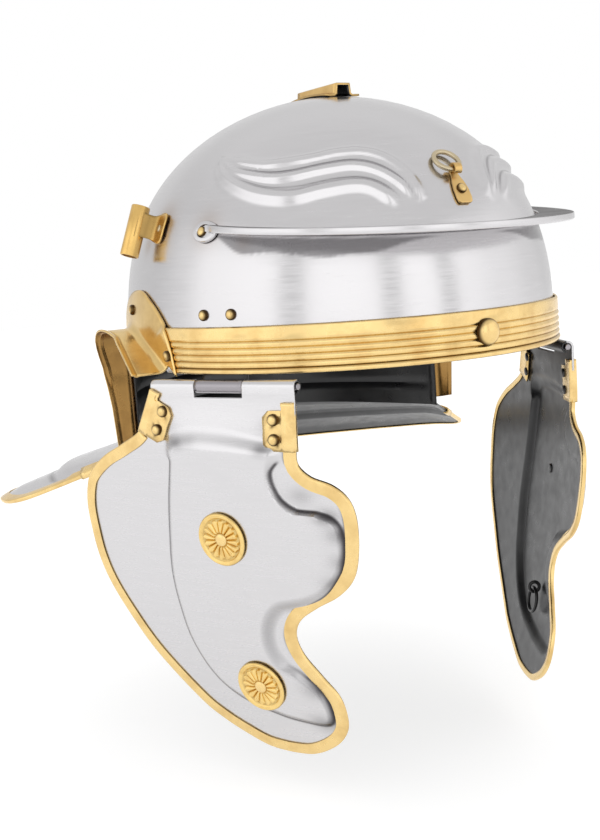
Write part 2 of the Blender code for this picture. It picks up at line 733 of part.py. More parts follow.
def make_crest_hook():
    """A small riveted plate whose top is curled round the crest's tie ring."""
    sides = []
    stand = CLOSE_FIT
    flat_rows = ((HOOK_BOTTOM_AT, 0.72), (HOOK_BOTTOM_AT + HOOK_BOTTOM_CUT, 1.0), (HOOK_RIVET_AT, 0.95),
                 (HOOK_SHOULDER_AT, 0.62))
    for height, width in flat_rows:
        spot = bowl_point(0.0, height, stand)
        sides.append((spot, 0.5 * HOOK_WIDTH * width))
    out = bowl_normal(0.0, HOOK_TOP_AT)
    climb = Vector((1, 0, 0)).cross(out).normalized()
    if climb.z < 0.0:
        climb = -climb
    middle = bowl_point(0.0, HOOK_TOP_AT, stand + HOOK_LOOP_RADIUS)
    for step in range(8):
        angle = math.radians(-90.0 + 38.0 * step)
        spot = middle + climb * (HOOK_LOOP_RADIUS * math.cos(angle)) + out * (HOOK_LOOP_RADIUS * math.sin(angle))
        sides.append((spot, 0.5 * HOOK_NECK_WIDTH))

    def place(column, row):
        spot, half = sides[row]
        return spot + Vector((half * (2.0 * column - 1.0), 0.0, 0.0))

    sheet = draped_grid(1, len(sides) - 1, place)
    hook = piece("crest_hook", sheet, "brass", closed=False)
    thicken(hook, HOOK_SHEET)
    seat = bowl_point(0.0, HOOK_RIVET_AT, stand + HOOK_SHEET + GAP)
    rivet("crest_hook_rivet", seat, bowl_normal(0.0, HOOK_RIVET_AT), HOOK_RIVET_RADIUS,
          HOOK_RIVET_HEIGHT)
    ring_middle = middle + climb * RING_RADIUS
    ring = bmesh.new()
    bmesh.ops.create_circle(ring, cap_ends=False, segments=5, radius=RING_WIRE_RADIUS)
    across = Vector((1, 0, 0))
    frame = Matrix((
        (-climb.x, out.x, 0.0, 0.0),
        (-climb.y, out.y, 0.0, 0.0),
        (-climb.z, out.z, 0.0, 0.0),
        (0.0, 0.0, 0.0, 1.0),
    ))
    frame.col[2] = Vector((*across, 0.0))
    bmesh.ops.transform(ring, matrix=Matrix.Translation(middle) @ frame, verts=ring.verts)
    bmesh.ops.spin(ring, geom=ring.edges[:] + ring.verts[:], cent=ring_middle, axis=out, angle=2 * math.pi,
                   steps=14, use_merge=True)
    bmesh.ops.remove_doubles(ring, verts=ring.verts, dist=0.00001)
    piece("crest_ring", ring, "brass")


def make_plume_tube(side_name, side):
    """A short brass tube for a plume, with one flange riveted to the side of the bowl."""
    turn = turn_at(PLUME_TUBE_AFT, PLUME_TUBE_AT) * side
    out = bowl_normal(turn, PLUME_TUBE_AT)
    stand = PLUME_TUBE_CLEAR + PLUME_TUBE_RADIUS
    middle = bowl_point(turn, PLUME_TUBE_AT, stand)
    lean = math.atan2(out.z, abs(out.x)) - math.radians(PLUME_TUBE_UPRIGHT)
    axis = Vector((-math.sin(lean) * side, 0.0, math.cos(lean)))
    start = middle - axis * (0.5 * PLUME_TUBE_LENGTH)
    bore = PLUME_TUBE_RADIUS - PLUME_TUBE_WALL
    sections = []
    aside = axis.orthogonal().normalized()
    across = axis.cross(aside)
    for count in range(14):
        angle = 2 * math.pi * count / 14
        spoke = aside * math.cos(angle) + across * math.sin(angle)
        end = start + axis * PLUME_TUBE_LENGTH
        sections.append((start + spoke * bore, start + spoke * PLUME_TUBE_RADIUS,
                         end + spoke * PLUME_TUBE_RADIUS, end + spoke * bore))
    tube = piece(f"plume_tube_{side_name}", lofted(sections, closed=True), "brass")

    level = middle.z
    thick = 2.0 * PLUME_TUBE_WALL
    end = PLUME_TUBE_AFT - PLUME_FLANGE_REACH
    flat = CLOSE_FIT + thick
    near_wall = stand - 0.42 * PLUME_TUBE_RADIUS
    path = ((end, flat, PLUME_FLANGE_HEIGHT * 0.8),
            (end + 0.14 * PLUME_FLANGE_REACH, flat, PLUME_FLANGE_HEIGHT),
            (end + 0.43 * PLUME_FLANGE_REACH, flat, PLUME_FLANGE_NECK * 1.15),
            (end + 0.65 * PLUME_FLANGE_REACH, flat + 0.23 * (near_wall - flat), PLUME_FLANGE_NECK),
            (PLUME_TUBE_AFT - 0.65 * PLUME_TUBE_RADIUS, near_wall, PLUME_FLANGE_NECK))

    def place(column, row):
        aft, off_bowl, height = path[column]
        lift = level + height * (0.5 - row / 2)
        spot = bowl_point(turn_at(aft, lift), lift, off_bowl)
        spot.x *= side
        return spot

    sheet = draped_grid(len(path) - 1, 2, place)
    if side < 0:
        bmesh.ops.reverse_faces(sheet, faces=sheet.faces)
    flange = piece(f"plume_flange_{side_name}", sheet, "brass", closed=False)
    thicken(flange, thick)
    join_solid(tube, flange)
    turn = turn_at(end + 0.32 * PLUME_FLANGE_REACH, level) * side
    seat = bowl_point(turn, level, flat + GAP)
    rivet(f"plume_rivet_{side_name}", seat, bowl_normal(turn, level), PLUME_RIVET_RADIUS, PLUME_RIVET_HEIGHT)


HINGE_ALONG = Vector((math.sin(math.radians(HINGE_YAW)), math.cos(math.radians(HINGE_YAW)), 0.0))
HINGE_OUT = Vector((math.cos(math.radians(HINGE_YAW)), -math.sin(math.radians(HINGE_YAW)), 0.0))
HINGE_START = (bowl_point(HINGE_TURN, 0.0, HINGE_OUTSIDE_RIM) - HINGE_ALONG * (0.5 * (KNUCKLE_START + KNUCKLE_END))
               - Vector((0, 0, HINGE_BELOW_RIM)))


def hinge_spot(back, down, out, side):
    """A point by its place along the pin, below it and outwards of it."""
    spot = HINGE_START + HINGE_ALONG * back + HINGE_OUT * out + Vector((0, 0, -down))
    return Vector((spot.x * side, spot.y, spot.z))


def turn_beside(back):
    """The turn of the bowl's rim that lies beside a place along the pin."""
    low, high = 20.0, 100.0
    for _ in range(30):
        turn = 0.5 * (low + high)
        if (bowl_point(turn, 0.0) - HINGE_START).dot(HINGE_ALONG) < back:
            low = turn
        else:
            high = turn
    return 0.5 * (low + high)


def make_hinge(side_name, side):
    """A leaf inside the skull ends in the knuckle that the cheek plate's rolls turn beside."""
    backs = [KNUCKLE_START + (KNUCKLE_END - KNUCKLE_START) * share for share in (0.0, 0.5, 1.0)]
    behind = SKULL_WALL + LEAF_BEHIND_WALL + LEAF_SHEET
    levels = (LEAF_TOP_AT, 0.67 * LEAF_TOP_AT, 0.3 * LEAF_TOP_AT, ROLL_RADIUS + LEAF_SHEET - HINGE_BELOW_RIM)
    arc = [math.radians(angle) for angle in (180, 222, 264, 306, 348, 390, 432)]

    def place(column, row):
        back = backs[column]
        if row < len(levels):
            turn = turn_beside(back)
            spot = bowl_point(turn, levels[row], -behind)
            spot.x *= side
            return spot
        angle = arc[row - len(levels)]
        return hinge_spot(back, -ROLL_RADIUS * math.sin(angle), ROLL_RADIUS * math.cos(angle), side)

    sheet = draped_grid(len(backs) - 1, len(levels) + len(arc) - 1, place)
    if side > 0:
        bmesh.ops.reverse_faces(sheet, faces=sheet.faces)
    leaf = piece(f"hinge_leaf_{side_name}", sheet, "steel", closed=False)
    thicken(leaf, LEAF_SHEET)
    start = hinge_spot(CHEEK_FRONT_END - PIN_STICKS_OUT, 0.0, 0.0, side)
    end = hinge_spot(CHEEK_REAR_END + PIN_STICKS_OUT, 0.0, 0.0, side)
    profile = ((PIN_RADIUS, 0.0), (PIN_RADIUS, (end - start).length))
    piece(f"hinge_pin_{side_name}", turned(profile, 12, start, end - start), "steel")
    for label, share in (("front", 0.2), ("rear", 0.8)):
        turn = turn_beside(KNUCKLE_START + (KNUCKLE_END - KNUCKLE_START) * share) * side
        seat = bowl_point(turn, HINGE_RIVET_HEIGHT_AT, GAP)
        rivet(f"hinge_rivet_{side_name}_{label}", seat, bowl_normal(turn, HINGE_RIVET_HEIGHT_AT))


def cheek_out(back, down):
    """How far the plate's plain outer face lies outwards of the pin's axis."""
    below = smooth_share(down / CHEEK_SHOULDER)
    out = ROLL_RADIUS + CHEEK_STAND * below
    out -= down ** 2 / (2.0 * CHEEK_CURL_RADIUS) + CHEEK_HANG_SHARE * down
    out -= below * (back - CHEEK_BEND_MIDDLE) ** 2 / (2.0 * CHEEK_BEND_RADIUS)
    return out


def cheek_columns(row):
    """Places along one row of the cheek table, front edge to rear edge."""
    down, front, front_crease, rear_crease, rear = CHEEK_ROWS[row]
    front, front_crease, rear_crease, rear = (share * CHEEK_WIDTH for share in
                                              (front, front_crease, rear_crease, rear))
    border = min(CHEEK_BORDER, 0.45 * (front_crease - front), 0.45 * (rear - rear_crease))
    slope = min(CHEEK_PANEL_SLOPE, 0.3 * (rear_crease - front_crease))
    first = front_crease + slope
    final = rear_crease - slope
    return [front, front + border, front_crease, first, 0.5 * (first + final), final, rear_crease, rear - border,
            rear]


def slot_columns():
    """Places along the rolled top, with the knuckle's slot between the fourth and sixth."""
    first = KNUCKLE_START - GAP
    final = KNUCKLE_END + GAP
    return [CHEEK_FRONT_END, CHEEK_FRONT_END + CHEEK_BORDER, 0.5 * (CHEEK_FRONT_END + first) + 0.002, first,
            0.5 * (first + final), final, 0.5 * (final + CHEEK_REAR_END), CHEEK_REAR_END - CHEEK_BORDER,
            CHEEK_REAR_END]


SLOT_FROM = 3
SLOT_TO = 5
ROLL_ANGLES = (262, 222, 182, 142, 102, 62, 30, 0)


def cheek_place(column, row, side):
    """Row 0 is the inner end of the roll over the pin; then the slot's foot and the table's rows."""
    if row < len(ROLL_ANGLES):
        if SLOT_FROM < column < SLOT_TO:
            return None
        angle = math.radians(ROLL_ANGLES[row])
        return hinge_spot(slot_columns()[column], -ROLL_RADIUS * math.sin(angle),
                          ROLL_RADIUS * math.cos(angle), side)
    row -= len(ROLL_ANGLES)
    if row == 0:
        back = slot_columns()[column]
        return hinge_spot(back, KNUCKLE_SLOT_DEPTH, cheek_out(back, KNUCKLE_SLOT_DEPTH), side)
    row -= 1
    down = CHEEK_ROWS[row][0] * CHEEK_HEIGHT
    back = cheek_columns(row)[column] if row > 0 else slot_columns()[column]
    if row == 0 and column in (0, 8):
        back = cheek_columns(row)[column]
    raised = CHEEK_PANEL_TOP_ROW <= row <= CHEEK_PANEL_BOTTOM_ROW and 3 <= column <= 5
    out = cheek_out(back, down) + (CHEEK_PANEL_RISE if raised else 0.0)
    return hinge_spot(back, down, out, side)


def cheek_edge(down, rear):
    """A point of the plate's front or rear edge by height, between the table's rows."""
    rows = [(KNUCKLE_SLOT_DEPTH, CHEEK_REAR_END if rear else CHEEK_FRONT_END)]
    rows += [(row[0] * CHEEK_HEIGHT, cheek_columns(count)[-1 if rear else 0])
             for count, row in enumerate(CHEEK_ROWS)]
    for first, last in zip(rows, rows[1:]):
        if first[0] <= down <= last[0]:
            share = (down - first[0]) / (last[0] - first[0])
            return first[1] + (last[1] - first[1]) * share
    return rows[0][1]


def make_cheek(side_name, side):
    """A cheek plate of sheet iron with a raised panel, rolled over the hinge pin at its top."""
    rows = len(ROLL_ANGLES) + 1 + len(CHEEK_ROWS)
    sheet = draped_grid(8, rows - 1, lambda column, row: cheek_place(column, row, side))
    if side < 0:
        bmesh.ops.reverse_faces(sheet, faces=sheet.faces)
    plate = piece(f"cheek_plate_{side_name}", sheet, "steel", closed=False)
    thicken(plate, CHEEK_SHEET)
    make_cheek_edging(side_name, side)
    for label, rear in (("front", False), ("rear", True)):
        make_cheek_clip(f"cheek_clip_{side_name}_{label}", rear, side)
    make_rosette(f"rosette_{side_name}_upper", (ROSETTE_UPPER_BACK, ROSETTE_UPPER_DOWN), side)
    make_rosette(f"rosette_{side_name}_lower", (ROSETTE_LOWER_BACK, ROSETTE_LOWER_DOWN), side)
    make_tie_ring(side_name, side)


def cheek_normal(back, down, side):
    """The outward direction of the plate's plain face."""
    step = 0.01 * CHEEK_HEIGHT
    ahead = hinge_spot(back + step, down, cheek_out(back + step, down), side)
    behind = hinge_spot(back - step, down, cheek_out(back - step, down), side)
    below = hinge_spot(back, down + step, cheek_out(back, down + step), side)
    above = hinge_spot(back, down - step, cheek_out(back, down - step), side)
    normal = (ahead - behind).cross(below - above).normalized()
    outward = Vector((HINGE_OUT.x * side, HINGE_OUT.y, 0.0))
    return normal if normal.dot(outward) > 0.0 else -normal


def edging_start(rear):
    """Height at which the edging begins, below the clip on that edge."""
    return (REAR_CLIP_BOTTOM if rear else FRONT_CLIP_BOTTOM) + EDGING_BELOW_CLIP


def make_cheek_edging(side_name, side):
    """The brass strip folded over the plate's free edge, from the front clip round to the rear one."""
    runs = []
    for rear, inward in ((False, 1), (True, -2)):
        start = edging_start(rear)
        run = [(cheek_edge(start, rear), start, CHEEK_BORDER * (-1.0 if rear else 1.0), 0.0)]
        for count, row in enumerate(CHEEK_ROWS):
            down = row[0] * CHEEK_HEIGHT
            if down > start + EDGING_FIT:
                columns = cheek_columns(count)
                edge = columns[-1 if rear else 0]
                lift = -CHEEK_BORDER if count == len(CHEEK_ROWS) - 1 else 0.0
                run.append((edge, down, columns[inward] - edge, lift))
        runs.append(run)
    edge = []
    inside = []
    outward = []
    for back, down, inward, lift in runs[0] + runs[1][::-1]:
        edge.append(hinge_spot(back, down, cheek_out(back, down), side))
        within = back + inward
        inside.append(hinge_spot(within, down + lift, cheek_out(within, down + lift), side))
        outward.append(cheek_normal(back, down, side))
    edge_strip(f"cheek_edging_{side_name}", edge, inside, outward, CHEEK_SHEET)


def make_cheek_clip(name, rear, side):
    """A folded brass clip over the plate's edge: it ends the edging, and has two rivets and cut corners."""
    top, bottom = (REAR_CLIP_TOP, REAR_CLIP_BOTTOM) if rear else (FRONT_CLIP_TOP, FRONT_CLIP_BOTTOM)
    run_back = cheek_edge(bottom, rear) - cheek_edge(top, rear)
    run = math.hypot(run_back, bottom - top)
    inward = (-(bottom - top) / run, run_back / run) if rear else ((bottom - top) / run, -run_back / run)
    cut = CLIP_CUT * (bottom - top) / run
    rows = [(top, CLIP_LEG - CLIP_CUT), (top + cut, CLIP_LEG), (bottom - cut, CLIP_LEG),
            (bottom, CLIP_LEG - CLIP_CUT)]
    if not rear:
        rows = [(top - CLIP_TAB_LENGTH, CLIP_TAB_LEG), (top - GAP, CLIP_TAB_LEG)] + rows
    face = CLOSE_FIT + GAP
    sections = []
    for down, leg in rows:
        edge = cheek_edge(down, rear)
        outline = []
        for reach, rise in (
            (-GAP - CLIP_SHEET, face + CLIP_SHEET), (leg, face + CLIP_SHEET), (leg, face), (-GAP, face),
            (-GAP, -CHEEK_SHEET - face), (leg, -CHEEK_SHEET - face),
            (leg, -CHEEK_SHEET - face - CLIP_SHEET), (-GAP - CLIP_SHEET, -CHEEK_SHEET - face - CLIP_SHEET),
        ):
            back = edge + inward[0] * reach
            level = down + inward[1] * reach
            held = max(reach, 0.0)
            out = cheek_out(edge + inward[0] * held, down + inward[1] * held)
            outline.append(hinge_spot(back, level, out + rise, side))
        sections.append(outline)
    piece(name, lofted(sections), "brass")
    for label, share in (("top", 0.25), ("bottom", 0.72)):
        down = top + (bottom - top) * share
        reach = CLIP_LEG * 0.62
        back = cheek_edge(down, rear) + inward[0] * reach
        level = down + inward[1] * reach
        out = cheek_out(back, level) + face + GAP + CLIP_SHEET
        rivet(f"{name}_rivet_{label}", hinge_spot(back, level, out, side), cheek_normal(back, level, side),
              CLIP_RIVET_RADIUS, CLIP_RIVET_HEIGHT)


def make_rosette(name, spot, side):
    """A pressed brass disc with a flat rim, a ring of petals and a rivet in the middle."""
    back, down = spot
    out = cheek_normal(back, down, side)
    seat = hinge_spot(back, down, cheek_out(back, down) + CHEEK_PANEL_RISE, side) + out * rosette_stand()
    aside = out.orthogonal().normalized()
    across = out.cross(aside)
    petals_from = ROSETTE_STUD_RADIUS
    petals_to = ROSETTE_RADIUS - ROSETTE_RIM
    sides = 2 * ROSETTE_PETALS
    profile = (
        (ROSETTE_RADIUS, 0.0, 0.0), (ROSETTE_RADIUS, ROSETTE_HEIGHT, 0.0), (petals_to, ROSETTE_HEIGHT, 0.0),
        (petals_from + 0.45 * (petals_to - petals_from), 0.55 * ROSETTE_HEIGHT, ROSETTE_PETAL_RELIEF),
    )
    disc = bmesh.new()
    rings = []
    for radius, height, relief in profile:
        ring = []
        for count in range(sides):
            angle = 2 * math.pi * count / sides
            spoke = aside * math.cos(angle) + across * math.sin(angle)
            lift = height + (relief if count % 2 else 0.0)
            ring.append(disc.verts.new(seat + spoke * radius + out * lift))
        rings.append(ring)
    for ring, following in zip(rings, rings[1:]):
        for count in range(sides):
            after = (count + 1) % sides
            disc.faces.new((ring[count], ring[after], following[after], following[count]))
    disc.faces.new(rings[0])
    peak = disc.verts.new(seat + out * (ROSETTE_HEIGHT * 1.35))
    for count in range(sides):
        disc.faces.new((rings[-1][count], rings[-1][(count + 1) % sides], peak))
    piece(name, disc, "brass")


def rosette_stand():
    """The flat disc clears the plate's slight bend under it."""
    return CLOSE_FIT + ROSETTE_RADIUS ** 2 / (2.0 * CHEEK_BEND_RADIUS)


def make_tie_ring(side_name, side):
    """A wire ring for the chin tie, hanging in a bent wire eye inside the plate."""
    back = ROSETTE_LOWER_BACK
    down = ROSETTE_LOWER_DOWN - TIE_EYE_ABOVE_ROSETTE
    out = cheek_normal(back, down, side)
    wall = hinge_spot(back, down, cheek_out(back, down) + CHEEK_PANEL_RISE - CHEEK_SHEET, side)
    inward = -out
    along = Vector((HINGE_ALONG.x * side, HINGE_ALONG.y, 0.0))
    drop = out.cross(along).normalized()
    if drop.z > 0.0:
        drop = -drop
    eye_middle = wall + inward * (CLOSE_FIT + TIE_EYE_RADIUS + TIE_WIRE_RADIUS)
    wire_ring(f"tie_eye_{side_name}", eye_middle, inward, drop, along, TIE_EYE_RADIUS, 8)
    clear = TIE_EYE_RADIUS - 2.0 * TIE_WIRE_RADIUS - GAP
    ring_middle = eye_middle + drop * (TIE_RING_RADIUS + clear)
    wire_ring(f"tie_ring_{side_name}", ring_middle, along, drop, inward, TIE_RING_RADIUS, 12)


def wire_ring(name, middle, first, second, axis, radius, steps):
    """A closed ring of round wire in the plane of the first two directions."""
    sections = []
    for step in range(steps):
        angle = 2 * math.pi * step / steps
        spoke = first * math.cos(angle) + second * math.sin(angle)
        section = []
        for corner in range(5):
            around = 2 * math.pi * corner / 5
            section.append(middle + spoke * (radius + TIE_WIRE_RADIUS * math.cos(around))
                           + axis * (TIE_WIRE_RADIUS * math.sin(around)))
        sections.append(section)
    return piece(name, lofted(sections, closed=True), "dark_steel")


def build():
    clear_scene()
    make_skull()
    make_brow_band()
    make_brow_peak()
    make_neck_trim()
    make_crest_box()
    make_crest_hook()
    for side_name, side in SIDES:
        make_ear_guard(side_name, side)
        make_plume_tube(side_name, side)
        make_hinge(side_name, side)
        make_cheek(side_name, side)


build()
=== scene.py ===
import math

import bmesh
import bpy
import numpy as np
from mathutils import Matrix, Vector, noise


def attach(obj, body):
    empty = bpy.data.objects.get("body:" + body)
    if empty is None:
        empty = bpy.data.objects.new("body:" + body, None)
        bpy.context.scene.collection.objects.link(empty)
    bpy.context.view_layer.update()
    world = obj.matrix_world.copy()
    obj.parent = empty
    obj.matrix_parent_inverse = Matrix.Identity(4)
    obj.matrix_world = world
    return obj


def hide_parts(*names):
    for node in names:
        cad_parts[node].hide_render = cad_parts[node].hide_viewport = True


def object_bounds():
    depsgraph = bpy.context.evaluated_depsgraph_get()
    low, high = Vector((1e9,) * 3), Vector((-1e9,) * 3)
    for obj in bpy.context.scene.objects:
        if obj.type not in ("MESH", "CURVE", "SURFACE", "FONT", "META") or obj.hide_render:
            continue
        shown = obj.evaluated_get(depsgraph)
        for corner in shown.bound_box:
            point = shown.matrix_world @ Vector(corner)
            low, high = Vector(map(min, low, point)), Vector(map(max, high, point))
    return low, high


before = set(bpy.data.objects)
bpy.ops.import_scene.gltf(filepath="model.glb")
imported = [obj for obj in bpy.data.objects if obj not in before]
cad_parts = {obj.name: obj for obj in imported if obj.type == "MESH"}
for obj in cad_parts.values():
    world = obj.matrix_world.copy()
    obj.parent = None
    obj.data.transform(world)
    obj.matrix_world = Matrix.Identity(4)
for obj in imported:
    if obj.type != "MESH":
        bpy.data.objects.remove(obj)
cad_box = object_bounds()


# Skull
# One sheet of iron makes the bowl, the nape and the neck guard. The eyebrows, the nape's two
# ribs and the guard's step are hammered out of it. It is brushed outside, painted black inside.
bowl_half_width = 0.1015
bowl_half_length = 0.113
bowl_height = 0.1222
bowl_rise_power = 2.87
bowl_round_power = 1.86
skull_wall = 0.001
ear_front = -0.013
ear_rear = 0.043
ear_arch_rise = 0.0185
nape_drop_side = 0.044
nape_drop_back = 0.039
nape_rib_rise = 0.0016
nape_rib_half = 0.0042
guard_half_width = 0.1479
guard_widest_at = 0.092
guard_reach = 0.165
guard_drop_corner = 0.0675
guard_drop_back = 0.0685
guard_sag = 0.0032
guard_corner = (0.1477, 0.0852, -0.0665)
guard_round_power = 2.6
guard_step_rise = 0.003
guard_step_at = 0.57
guard_step_half = 0.02
brow_rise = 0.0021
brow_soft_side = 0.0031
brow_sharp_side = 0.0017
brow_foot_side = 0.003
brow_crease_half = 0.0005
ear_steps = 24
back_steps = 28
crown_rows = 10
brow_rows = 72
stain_rows = 16
side_rows = 10
stain_foot = 0.04
nape_rows = 26
guard_rows = 30
brow_zone = (0.056, 0.1)
brow_turns = (9.0, 77.0)
brow_columns = 124
nape_rib_places = (0.38, 0.73)

# Edge of the ear opening: share of the way back, share of its height
ear_arch = (
    (0.00, 0.00), (0.16, 0.34), (0.34, 0.64), (0.52, 0.88), (0.68, 1.00), (0.84, 0.92), (0.95, 0.58),
    (1.00, 0.00),
)

# The guard's profile: share of the way out, share of its drop
guard_fall = ((0.0, 0.0), (0.05, 0.1), (0.14, 0.18), (0.34, 0.31), (0.57, 0.48), (0.86, 0.78), (1.0, 1.0))

# Ridges of the left eyebrow, from its tip to its inner end: turn in degrees, height in millimetres
brow_ridges = (
    ((73.5, 93.2), (68.0, 90.6), (61.8, 88.6), (53.3, 86.6), (41.6, 87.4), (32.2, 89.1), (25.1, 89.0),
     (18.7, 85.7), (13.8, 77.8), (12.1, 68.6), (12.6, 64.5)),
    ((73.2, 92.3), (66.0, 86.4), (61.0, 83.6), (52.6, 80.9), (45.8, 80.8), (37.1, 82.5), (28.4, 83.2),
     (22.2, 80.7), (16.8, 74.6), (13.7, 66.6)),
    ((72.8, 91.4), (69.0, 85.6), (62.0, 79.4), (54.2, 74.6), (45.6, 72.6), (37.4, 74.4), (29.2, 75.5),
     (24.6, 74.1), (20.7, 69.9), (17.7, 64.5)),
)


def smooth_share(value):
    share = min(max(value, 0.0), 1.0)
    return share * share * (3.0 - 2.0 * share)


def smooth_path(points, count):
    """Evenly spaced points on a smooth curve through a few given ones."""
    given = [Vector(point) for point in points]
    dense = []
    for place in range(len(given) - 1):
        before = given[max(place - 1, 0)]
        first = given[place]
        last = given[place + 1]
        beyond = given[min(place + 2, len(given) - 1)]
        for step in range(30):
            share = step / 30
            pull = (last - before) * share + (2 * before - 5 * first + 4 * last - beyond) * share ** 2
            dense.append(first + 0.5 * (pull + (3 * first - before - 3 * last + beyond) * share ** 3))
    dense.append(given[-1])
    reached = [0.0]
    for first, last in zip(dense, dense[1:]):
        reached.append(reached[-1] + (last - first).length)
    path = []
    place = 0
    for step in range(count):
        goal = reached[-1] * step / (count - 1)
        while place < len(dense) - 2 and reached[place + 1] < goal:
            place += 1
        span = reached[place + 1] - reached[place]
        share = (goal - reached[place]) / span if span > 0.0 else 0.0
        path.append(dense[place].lerp(dense[place + 1], min(max(share, 0.0), 1.0)))
    return path


def table_value(table, place):
    """The second column of a table at a place in its first one."""
    return float(np.interp(place, [row[0] for row in table], [row[1] for row in table]))


def rows_between(low, high, count):
    """Even steps from one value up to, but without, another."""
    return [low + (high - low) * step / count for step in range(count)]


def bowl_share(height):
    rise = min(max(height / bowl_height, 0.0), 1.0)
    return max(1.0 - rise ** bowl_rise_power, 0.0) ** (1.0 / bowl_round_power)


def bowl_normal(turn, height):
    """Outward direction of the bowl; the turn is in degrees from the front to the wearer's left."""
    share = bowl_share(height)
    angle = math.radians(turn)
    level = Vector((share * math.sin(angle) / bowl_half_width, -share * math.cos(angle) / bowl_half_length,
                    0.0))
    if height > 0.0:
        rise = height / bowl_height
        steep = bowl_rise_power / (bowl_round_power * bowl_height) * rise ** (bowl_rise_power - 1.0)
        level.z = steep * max(1.0 - rise ** bowl_rise_power, 0.0) ** (2.0 / bowl_round_power - 1.0)
    return level.normalized()


def bowl_point(turn, height, stand=0.0):
    share = bowl_share(height)
    angle = math.radians(turn)
    spot = Vector((bowl_half_width * share * math.sin(angle), -bowl_half_length * share * math.cos(angle),
                   height))
    return spot + bowl_normal(turn, height) * stand


def turn_at(aft, height=0.0):
    """The turn at which the bowl is this far aft of its middle."""
    return math.degrees(math.acos(max(-1.0, min(1.0, -aft / (bowl_half_length * bowl_share(height))))))


def turn_of(spot):
    """The turn at which a point lies round the bowl."""
    return math.degrees(math.atan2(spot.x / bowl_half_width, -spot.y / bowl_half_length))


def on_side(spot, side):
    """A point of the left side, or its mirror image where the side is -1."""
    return Vector((spot.x * side, spot.y, spot.z))


def draped_grid(across, down, place, turned_over=False):
    """A grid of faces laid where place(column, row) says; None leaves that corner out."""
    grid = bmesh.new()
    bmesh.ops.create_grid(grid, x_segments=across, y_segments=down, size=1.0)
    spare = []
    for corner in grid.verts:
        column = round((corner.co.x + 1.0) * across / 2)
        row = round((1.0 - corner.co.y) * down / 2)
        spot = place(column, row)
        if spot is None:
            spare.append(corner)
        else:
            corner.co = spot
    bmesh.ops.delete(grid, geom=spare, context="VERTS")
    bmesh.ops.remove_doubles(grid, verts=grid.verts, dist=0.00001)
    if turned_over:
        bmesh.ops.reverse_faces(grid, faces=grid.faces)
    return grid


def finish_piece(name, shape, materials, body, stands_for=(), sharp=35):
    """Makes the named piece of a bmesh and puts it on its body."""
    mesh = bpy.data.meshes.new(name)
    shape.to_mesh(mesh)
    shape.free()
    for material in materials:
        mesh.materials.append(material)
    mesh.shade_smooth()
    mesh.set_sharp_from_angle(angle=math.radians(sharp))
    piece = bpy.data.objects.new(name, mesh)
    bpy.context.collection.objects.link(piece)
    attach(piece, body)
    if stands_for:
        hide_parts(*stands_for)
    return piece


def thicken(piece, thickness, inner_material=0, rim_material=0):
    """Gives a drawn sheet its thickness, behind the face that was drawn."""
    wall = piece.modifiers.new("Wall", "SOLIDIFY")
    wall.thickness = thickness
    wall.offset = -1.0
    wall.use_even_offset = True
    wall.material_offset = inner_material
    wall.material_offset_rim = rim_material


def stain(piece, name, values):
    """Stores one number for each corner point, for the material to read."""
    layer = piece.data.attributes.new(name, "FLOAT", "POINT")
    layer.data.foreach_set("value", values)


def stain_by_spot(piece, name, spots):
    """Stores the numbers that are given for some places, and nothing elsewhere."""
    amounts = {tuple(round(part, 5) for part in spot): amount for spot, amount in spots}
    stain(piece, name, [amounts.get(tuple(round(part, 5) for part in corner.co), 0.0)
                        for corner in piece.data.vertices])


def feed(node, inputs):
    """Gives a node's inputs their values, or a link where the value is another node's output."""
    for socket, given in inputs.items():
        if isinstance(given, bpy.types.NodeSocket):
            node.id_data.links.new(given, node.inputs[socket])
        else:
            node.inputs[socket].default_value = given


def add_node(tree, kind, inputs, **settings):
    node = tree.nodes.new("ShaderNode" + kind)
    for setting, value in settings.items():
        setattr(node, setting, value)
    feed(node, inputs)
    return node


def noise_from(place, scale, detail, roughness=0.5):
    inputs = {"Vector": place, "Scale": scale, "Detail": detail, "Roughness": roughness}
    return add_node(place.id_data, "TexNoise", inputs).outputs["Fac"]


def mapped(value, low, high, new_low, new_high):
    inputs = {"Value": value, "From Min": low, "From Max": high, "To Min": new_low, "To Max": new_high}
    return add_node(value.id_data, "MapRange", inputs).outputs["Result"]


def toned(value, stops, blend="LINEAR"):
    """Turns a value into a colour, by stops of place and colour."""
    node = add_node(value.id_data, "ValToRGB", {"Fac": value})
    node.color_ramp.interpolation = blend
    while len(node.color_ramp.elements) < len(stops):
        node.color_ramp.elements.new(1.0)
    for stop, (at, colour) in zip(node.color_ramp.elements, stops):
        stop.position = at
        stop.color = (*colour, 1.0)
    return node.outputs["Color"]


def bumped(height, strength, distance, over=None):
    inputs = {"Height": height, "Strength": strength, "Distance": distance}
    if over is not None:
        inputs["Normal"] = over
    return add_node(height.id_data, "Bump", inputs).outputs["Normal"]


def worked(operation, *parts, clamped=False):
    """One sum of values and other nodes' outputs."""
    tree = next(part for part in parts if isinstance(part, bpy.types.NodeSocket)).id_data
    inputs = dict(enumerate(parts))
    return add_node(tree, "Math", inputs, operation=operation, use_clamp=clamped).outputs["Value"]


def blended(base, amount, colour):
    """Lays a colour over a base, by amount."""
    inputs = {"B": (*colour, 1.0), "Factor": amount, "A": base}
    return add_node(base.id_data, "Mix", inputs, data_type="RGBA").outputs["Result"]


def layer_amount(tree, layer):
    """Reads one of the layers that stain() stores."""
    return add_node(tree, "Attribute", {}, attribute_name=layer).outputs["Fac"]


def new_material(name):
    """A material, its shader and its node tree."""
    material = bpy.data.materials.new(name)
    material.use_nodes = True
    return material, material.node_tree.nodes["Principled BSDF"], material.node_tree


# Half the width of a crease's line of painted shade, as a share of the span that its layer covers
crease_spread = 0.15


